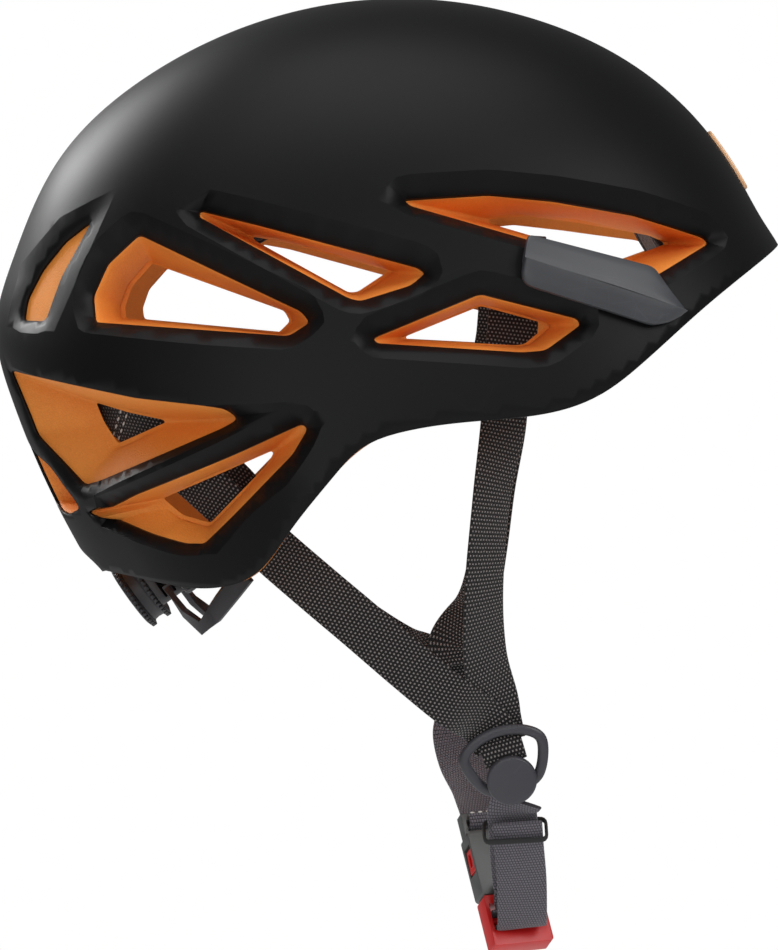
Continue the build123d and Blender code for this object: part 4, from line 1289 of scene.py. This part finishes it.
class HELMET_OT_trim(bpy.types.Operator):
    """Blank front badge and the headlamp clips"""

    bl_idname = "helmet.trim"
    bl_label = "Badge and clips"

    def execute(self, context):
        parts = MeshParts()
        turns = 96
        theta = np.linspace(0, 2 * np.pi, turns, endpoint=False)
        norm = (np.abs(np.cos(theta)) ** 7 + np.abs(np.sin(theta)) ** 7) ** (1 / 7)
        rows = []
        for r, rise in ((1.0, -0.2), (1.0, 0.75), (0.985, 1.05), (0.955, 1.2), (0.9, 1.2), (0.88, 1.02),
                        (0.6, 1.02), (0.3, 1.02), (0.02, 1.02)):
            angle = np.radians(46.5 + 4.0 * r * np.cos(theta) / norm)
            tilt = np.radians(8.0 * r * np.sin(theta) / norm)
            rows.append(parts.add(wall(angle, tilt, -rise)))
        parts.rows(rows)
        parts.cap(rows[-1])
        parts.cap(rows[0], flip=True)
        badge = parts.make("badge", merge=0.0005, smooth_angle=35)
        finish_piece(badge, moulded("badge_plastic", colours().badge, 0.3, 1.2, 0.01, scuffs=0.1),
                     "helmet", ["front_badge"])
        clip_finish = moulded("clip_nylon", colours().clip, 0.46, 0.45, 0.03, scuffs=0.2)
        for side, word in ((-1, "right"), (1, "left")):
            clip = self.clip(f"headlamp_hook_{word}", side)
            finish_piece(clip, clip_finish, "helmet", [f"headlamp_clip_{word}"])
        return {"FINISHED"}

    @staticmethod
    def clip(name, side):
        """Thin hooked plate, ridged along its middle, standing off the skin on a foot."""
        outline = [(42, 93.6), (84, 82.9), (95, 67.6), (89.4, 64.6), (83.4, 63.6), (41.6, 76.8), (39.4, 79.4),
                   (41, 91.4)]
        ring, _ = rounded(outline, 2.2, step=1.6, turns=4)
        spine_line = np.array([(40, 85), (60, 78.6), (82, 71.5), (94, 67.4)], float)
        shares = np.array([0.02, 0.35, 0.7, 0.9, 1.0])
        parts = MeshParts()

        def layer(scale, rise, ridge):
            near = np.array([nearest_on(p, spine_line) for p in ring])
            points = near + (ring - near) * scale
            angle, tilt = from_side(points)
            return parts.add(wall(angle, tilt, -(rise + ridge * (1 - scale))))

        rows = [layer(s, 3.5, 1.9) for s in shares[:-1]]
        rows.append(layer(1.0, 3.1, 0))
        rows.append(layer(1.005, 2.7, 0))
        rows.append(layer(1.0, 2.1, 0))
        rows += [layer(s, 1.9, 0) for s in shares[:-1][::-1]]
        parts.rows(rows)
        parts.cap(rows[0], flip=True)
        parts.cap(rows[-1])
        foot = [(42.5, 90), (53, 87.8), (51.5, 75.6), (42, 78.6)]
        ring, _ = rounded(foot, 2.0, step=1.6, turns=4)
        foot_rows = [parts.add(wall(*from_side(ring), -2.4)), parts.add(wall(*from_side(ring), 0.4))]
        parts.rows(foot_rows)
        parts.cap(foot_rows[0], flip=True)
        parts.cap(foot_rows[-1])
        obj = parts.make(name, merge=0.0005, smooth_angle=30)
        if side > 0:
            obj.data.transform(Matrix.Diagonal((1, -1, 1, 1)))
            obj.data.flip_normals()
        return obj


def harness_finish():
    c = colours()
    return webbing_material("harness_weave", c.harness_dark, c.harness_light, 1.35, 1.3, 0.38, 0.5, 0.8,
                            depth_mm=0.22)


def chin_finish():
    c = colours()
    return webbing_material("chin_weave", c.chin_dark, c.chin_light, 1.15, 1.0, 0.86, 0.33, 0.95,
                            depth_mm=0.18)


class HELMET_OT_harness(bpy.types.Operator):
    """Front and rear straps with their anchors and dividers, on both sides"""

    bl_idname = "helmet.harness"
    bl_label = "Harness"

    def execute(self, context):
        weave = harness_finish()
        thread = moulded("pale_thread", colours().thread, 0.7, 0.3, 0.02, scuffs=0.0)
        for word, side, spec, front, rear, rear_end in (
                ("right", -1, DIVIDER_R, FRONT_RIGHT, REAR_RIGHT, REAR_AT_DIVIDER),
                ("left", 1, DIVIDER_L, FRONT_LEFT, REAR_LEFT, REAR_AT_DIVIDER_LEFT)):
            sewn = []
            for name, inside_points, hanging, turns, ends in (
                    ("front", FRONT_INSIDE, front, FRONT_TURN, FRONT_AT_DIVIDER),
                    ("rear", REAR_INSIDE, rear, REAR_TURN, rear_end)):
                stations = laid_inside(inside_points, side) + turned(hanging, turns, side)
                stations += at_divider(ends, spec)
                obj = strip(f"{name}_webbing_{word}", stations, WEB_W, WEB_T, cup=0.25)
                finish_piece(obj, weave, "helmet", [f"{name}_strap_{word}"])
                sewn += rows_across(stations, WEB_W, WEB_T, (9, 13))
            wrap = strip(f"divider_wrap_{word}", at_divider(OVER_DIVIDER, spec), 15.0, WEB_T, step=1.0)
            finish_piece(wrap, weave, "helmet")
            rows = stitched(f"anchor_stitches_{word}", sewn, thread, sizes().stitch)
            finish_piece(rows, thread, "helmet")
        plastic = moulded("anchor_nylon", colours().ratchet, 0.5, 0.5, 0.03)
        for word in ("right", "left"):
            for end in ("front", "rear"):
                obj = softened(f"anchor_plate_{end}_{word}", [f"strap_anchor_{end}_{word}"], 0.5)
                finish_piece(obj, plastic, "helmet", [f"strap_anchor_{end}_{word}"])
        self.dividers()
        return {"FINISHED"}

    @staticmethod
    def dividers():
        finish = moulded("divider_acetal", colours().divider, 0.42, 0.4, 0.02, scuffs=0.15)
        for word in ("right", "left"):
            spec = DIVIDER_R if word == "right" else DIVIDER_L
            outline = [(-14, 9.8), (-9.5, 15.4), (0, 17.6), (9.5, 15.4), (14, 9.8), (9.5, -1.5),
                       (0, -4.2), (-9.5, -1.5)]
            path = [p for p, _ in at_divider([(u, v, 0) for u, v in closed_curve(outline, 96)], spec)]
            ring = tube(f"divider_ring_{word}", path, unit(spec[2]), 1.9, 1.35)
            finish_piece(ring, finish, "helmet", [f"divider_frame_{word}"])
            cap = softened(f"divider_button_{word}", [f"divider_cap_{word}"], 0.5, 4)
            finish_piece(cap, finish, "helmet", [f"divider_cap_{word}"])
            lock = softened(f"divider_latch_{word}", [f"divider_lock_{word}"], 0.5)
            finish_piece(lock, finish, "helmet", [f"divider_lock_{word}"])


def chin_left_stations():
    """Strap from the left divider, sewn round the top bar of the socket."""
    along, face = BUCKLE.y, BUCKLE.z
    hanging = [((21.3, 50.0, -88), (0.1, 0.9, -0.4)), ((23.5, 41, -97), (0.12, 0.75, -0.65)),
               ((28, 28, -105.5), (0.1, 0.55, -0.8))]
    round_bar = [((2.0, -4.6), -face), ((-1.6, -3.7), -face), ((-4.4, -2.4), -face - along),
                 ((-5.4, 0.2), -along), ((-4.4, 2.8), face - along), ((-1.0, 3.7), face)]
    stations = at_divider([(0, -7, 0)], DIVIDER_L) + [(np.array(p), np.array(f)) for p, f in hanging]
    return stations + [(BUCKLE.at((0, *p)), f) for p, f in round_bar]


def chin_right_stations():
    """Strap from the right divider through the plug's bars, and its free tail."""
    along, face = BUCKLE.y, BUCKLE.z
    out = np.array([0.02, -0.74, -0.67])
    hanging = [(38.9, -47.4, -105), (39.4, -42.4, -110.5), (40.6, -28.6, -125)]
    threaded = [((-38.5, 7.8), face + along), ((-39.1, 3.0), face + along), ((-39.0, -1.0), along),
                ((-40.2, -3.6), along - face), ((-42.4, -4.0), -face), ((-44.4, -2.8), -face - along),
                ((-45.1, 0.0), -along), ((-45.5, 4.5), -along)]
    fold = [(np.array([43.4, -19.4, -149.6]), np.array([0.1, -0.5, -0.86]))]
    tail = [(np.array(p), out) for p in ((43.3, -25.5, -143.5), (42.7, -35, -130.5), (41.4, -43.4, -118),
                                         (40.6, -48.6, -109))]
    strap = at_divider([(0, -8.6, 0)], DIVIDER_R) + [(np.array(p), out) for p in hanging]
    strap += [(BUCKLE.at((0, *p)), f) for p, f in threaded]
    return strap + fold + tail


class HELMET_OT_chin(bpy.types.Operator):
    """Chin straps, the free tail and its rubber keeper"""

    bl_idname = "helmet.chin"
    bl_label = "Chin straps"

    def execute(self, context):
        weave = chin_finish()
        left = strip("chin_webbing_left", chin_left_stations(), WEB_W, WEB_T, step=1.2)
        finish_piece(left, weave, "helmet", ["chin_strap_left"])
        right = strip("chin_webbing_right", chin_right_stations(), WEB_W, WEB_T, step=1.0)
        finish_piece(right, weave, None, ["chin_strap_right", "chin_strap_tail"])
        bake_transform(right)
        thread = moulded("pale_thread", colours().thread, 0.7, 0.3, 0.02, scuffs=0.0)
        bar = [BUCKLE.at((x, -0.9, 4.65)) for x in (-7.6, 0, 7.6)]
        sewn = stitched("socket_stitches", [bar], thread, sizes().stitch)
        finish_piece(sewn, thread, "helmet")
        hold = Plane3((40.1, -43.7, -112.4), (0.997, -0.018, 0.05), (-0.05, -0.66, 0.75))
        corners, _ = rounded([(-10.9, -4.85), (10.9, -4.85), (10.9, 4.85), (-10.9, 4.85)], 2.4, step=1.5)
        path = hold.at(np.column_stack([corners, np.zeros(len(corners))]))
        keeper = tube("keeper_loop", path, hold.z, 0.6, 1.2)
        finish_piece(keeper, moulded("keeper_rubber", tone(30, 30, 32), 0.34, 0.4, 0.02, scuffs=0.1),
                     "keeper", ["strap_keeper"])
        return {"FINISHED"}


class HELMET_OT_buckle(bpy.types.Operator):
    """Side-release buckle: socket, plug and its two prongs"""

    bl_idname = "helmet.buckle"
    bl_label = "Buckle"

    def execute(self, context):
        grey = moulded("buckle_acetal_grey", colours().buckle_grey, 0.4, 0.4, 0.02, scuffs=0.2)
        red = moulded("buckle_acetal_red", colours().buckle_red, 0.38, 0.4, 0.02, lift=1.15, scuffs=0.15)
        edge = sizes().edge
        for name, cad, body, finish, slot in (
                ("socket", "buckle_socket", "helmet", grey, "buckle_grey"),
                ("plug", "buckle_plug", "plug", red, "buckle_red"),
                ("prong_arm_front", "buckle_prong_front", "prong_front", red, "buckle_red"),
                ("prong_arm_rear", "buckle_prong_rear", "prong_rear", red, "buckle_red")):
            obj = softened(f"buckle_{name}", [cad], edge if name != "socket" else edge * 1.3, 3)
            finish_piece(obj, finish, body, [cad])
        return {"FINISHED"}


class HELMET_OT_cradle(bpy.types.Operator):
    """Ratchet, its wheel, the racks with their wings, and the side bands"""

    bl_idname = "helmet.cradle"
    bl_label = "Cradle"

    def execute(self, context):
        edge = sizes().edge
        plastic = moulded("ratchet_nylon", colours().ratchet, 0.45, 0.45, 0.03, scuffs=0.2)
        for cad, body in (("ratchet_housing", "cradle"), ("ratchet_cover", "cradle"),
                          ("ratchet_shaft", "wheel"),
                          ("rack_right", "rack_right"), ("rack_left", "rack_left"),
                          ("temple_peg_right", "helmet"), ("temple_peg_left", "helmet")):
            obj = softened(f"{cad}_moulded", [cad], edge * 0.8, 3)
            finish_piece(obj, plastic, body, [cad])
        cushion = softened("nape_cushion_soft", ["nape_cushion"], 1.4, 5)
        knit = knit_material("knit_pad", colours().pad)
        finish_piece(cushion, knit, "cradle", ["nape_cushion"])
        for side, word in ((-1, "right"), (1, "left")):
            band = softened(f"band_{word}", [f"side_band_{word}"], 0.4, 3)
            finish_piece(band, plastic, None, [f"side_band_{word}"])
            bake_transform(band)
        wheel = self.wheel()
        finish_piece(wheel, plastic, "wheel", ["ratchet_wheel"])
        turn = Matrix((RATCHET.x, RATCHET.y, RATCHET.z)).transposed().to_euler()
        for number, height in enumerate((WHEEL_T / 2 - 1.35, 1.35 - WHEEL_T / 2)):
            teeth = repeated(f"wheel_teeth_{number + 1}", bpy.data.meshes.new("rim"),
                             group_of("rim_teeth", teeth_tree),
                             {"Teeth": sizes().teeth, "Radius": (WHEEL_R - 0.55) * MM, "Turn": turn,
                              "Centre": RATCHET.at((0, 0, height)) * MM, "Material": plastic})
            finish_piece(teeth, plastic, "wheel")
        return {"FINISHED"}

    @staticmethod
    def wheel():
        """Wheel with two rims and a groove between them, and a dished face."""
        theta = np.linspace(0, 2 * np.pi, 128, endpoint=False)
        half = WHEEL_T / 2
        profile = [(0.6, half - 1.4), (6, half - 1.4), (8.6, half - 1.0), (10.4, half - 0.1), (11.8, half),
                   (12.6, half - 0.3), (12.8, half - 0.8), (12.8, half - 1.9), (12.4, half - 2.5),
                   (11.9, half - 2.8), (11.7, 0), (11.9, 2.8 - half), (12.4, 2.5 - half), (12.8, 1.9 - half),
                   (12.8, 0.8 - half), (12.6, 0.3 - half), (11.8, -half), (2.1, -half), (2.1, 0.6 - half)]
        parts = MeshParts()
        rows = []
        for radius, height in profile:
            rows.append(parts.add(RATCHET.at(np.stack([radius * np.cos(theta), radius * np.sin(theta),
                                                       np.full(len(theta), height)], -1))))
        parts.rows(rows)
        parts.cap(rows[0], flip=True)
        parts.cap(rows[-1])
        return parts.make("grip_wheel", merge=0.0005, smooth_angle=40)


class HELMET_OT_stage(bpy.types.Operator):
    """Camera, floor, soft lights and surroundings"""

    bl_idname = "helmet.stage"
    bl_label = "Stage"

    def execute(self, context):
        scene = context.scene
        camera_data = bpy.data.cameras.new("camera")
        camera_data.lens = LENS
        camera_data.clip_end = 20
        camera = bpy.data.objects.new("camera", camera_data)
        scene.collection.objects.link(camera)
        camera.location = Vector(EYE) * MM
        camera.rotation_euler = (Vector(AIM) - Vector(EYE)).to_track_quat("-Z", "Y").to_euler()
        scene.camera = camera

        floor_mesh = bpy.data.meshes.new("floor")
        reach, low = 6.0, -0.9
        floor_mesh.from_pydata([(-reach, -reach, low), (reach, -reach, low), (reach, reach, low),
                                (-reach, reach, low)], [], [(0, 1, 2, 3)])
        floor = bpy.data.objects.new("floor", floor_mesh)
        scene.collection.objects.link(floor)
        material, tree, shader, place = started("pale_floor")
        speckle = node(tree, "ShaderNodeTexNoise", {"Vector": place, "Scale": 6.0})
        tree.links.new(mixed(tree, speckle.outputs["Fac"], (0.86, 0.86, 0.86), (0.9, 0.9, 0.9)),
                       shader.inputs["Base Color"])
        shader.inputs["Roughness"].default_value = 0.9
        shader.inputs["Emission Color"].default_value = (1, 1, 1, 1)
        shader.inputs["Emission Strength"].default_value = 0.16
        white = node(tree, "ShaderNodeEmission", {"Strength": 1.0})
        path = node(tree, "ShaderNodeLightPath")
        seen = node(tree, "ShaderNodeMixShader", {0: path.outputs["Is Camera Ray"], 1: shader.outputs[0],
                                                  2: white.outputs[0]})
        clear = node(tree, "ShaderNodeBsdfTransparent")
        under = node(tree, "ShaderNodeNewGeometry")
        sided = node(tree, "ShaderNodeMixShader", {0: under.outputs["Backfacing"], 1: seen.outputs[0],
                                                   2: clear.outputs[0]})
        tree.links.new(sided.outputs[0], tree.nodes["Material Output"].inputs["Surface"])
        floor_mesh.materials.append(material)

        world = bpy.data.worlds.new("studio")
        scene.world = world
        world.use_nodes = True
        tree = world.node_tree
        ground = tree.nodes["Background"]
        ground.inputs["Strength"].default_value = 0.15
        seen = node(tree, "ShaderNodeBackground", {"Color": (1, 1, 1, 1), "Strength": 1.0})
        ground.inputs["Color"].default_value = (1, 1, 1, 1)
        path = node(tree, "ShaderNodeLightPath")
        joined = node(tree, "ShaderNodeMixShader", {0: path.outputs["Is Camera Ray"], 1: ground.outputs[0],
                                                    2: seen.outputs[0]})
        tree.links.new(joined.outputs[0], tree.nodes["World Output"].inputs["Surface"])

        for name, place_m, aim, watts, size in (
                ("key_front", (1.1, -1.0, 0.9), (0, 0, 0.05), 12, 0.9),
                ("top_soft", (-0.1, -0.35, 1.5), (0, 0, 0.1), 11, 1.2),
                ("fill_side", (-0.3, -1.8, 0.25), (0, 0, 0), 8, 1.3),
                ("rear_rim", (-1.1, 0.9, 0.9), (-0.02, 0, 0.08), 20, 0.7)):
            data = bpy.data.lights.new(name, "AREA")
            data.energy = watts
            data.shape = "SQUARE"
            data.size = size
            lamp = bpy.data.objects.new(name, data)
            scene.collection.objects.link(lamp)
            lamp.location = place_m
            lamp.rotation_euler = (Vector(aim) - Vector(place_m)).to_track_quat("-Z", "Y").to_euler()
        scene.view_settings.view_transform = "Standard"
        return {"FINISHED"}


OPERATORS = (HELMET_OT_stage, HELMET_OT_skin, HELMET_OT_foam, HELMET_OT_trim, HELMET_OT_pads,
             HELMET_OT_harness,
             HELMET_OT_chin, HELMET_OT_buckle, HELMET_OT_cradle)


class HELMET_PT_panel(bpy.types.Panel):
    """Lists the pieces that can be built, and their sizes and colours"""

    bl_idname = "HELMET_PT_panel"
    bl_label = "Climbing helmet"
    bl_space_type = "VIEW_3D"
    bl_region_type = "UI"
    bl_category = "Helmet"

    def draw(self, context):
        column = self.layout.column(align=True)
        for operator in OPERATORS:
            column.operator(operator.bl_idname)
        for group in (context.scene.helmet_sizes, context.scene.helmet_colours):
            for name in group.__annotations__:
                column.prop(group, name)


CLASSES = (HelmetSizes, HelmetColours, *OPERATORS, HELMET_PT_panel)


def register():
    for item in CLASSES:
        bpy.utils.register_class(item)
    bpy.types.Scene.helmet_sizes = PointerProperty(type=HelmetSizes)
    bpy.types.Scene.helmet_colours = PointerProperty(type=HelmetColours)


def unregister():
    del bpy.types.Scene.helmet_colours
    del bpy.types.Scene.helmet_sizes
    for item in reversed(CLASSES):
        bpy.utils.unregister_class(item)


def main():
    register()
    for operator in OPERATORS:
        family, action = operator.bl_idname.split(".")
        getattr(getattr(bpy.ops, family), action)()
    bpy.context.view_layer.update()


if __name__ == "__main__":
    main()
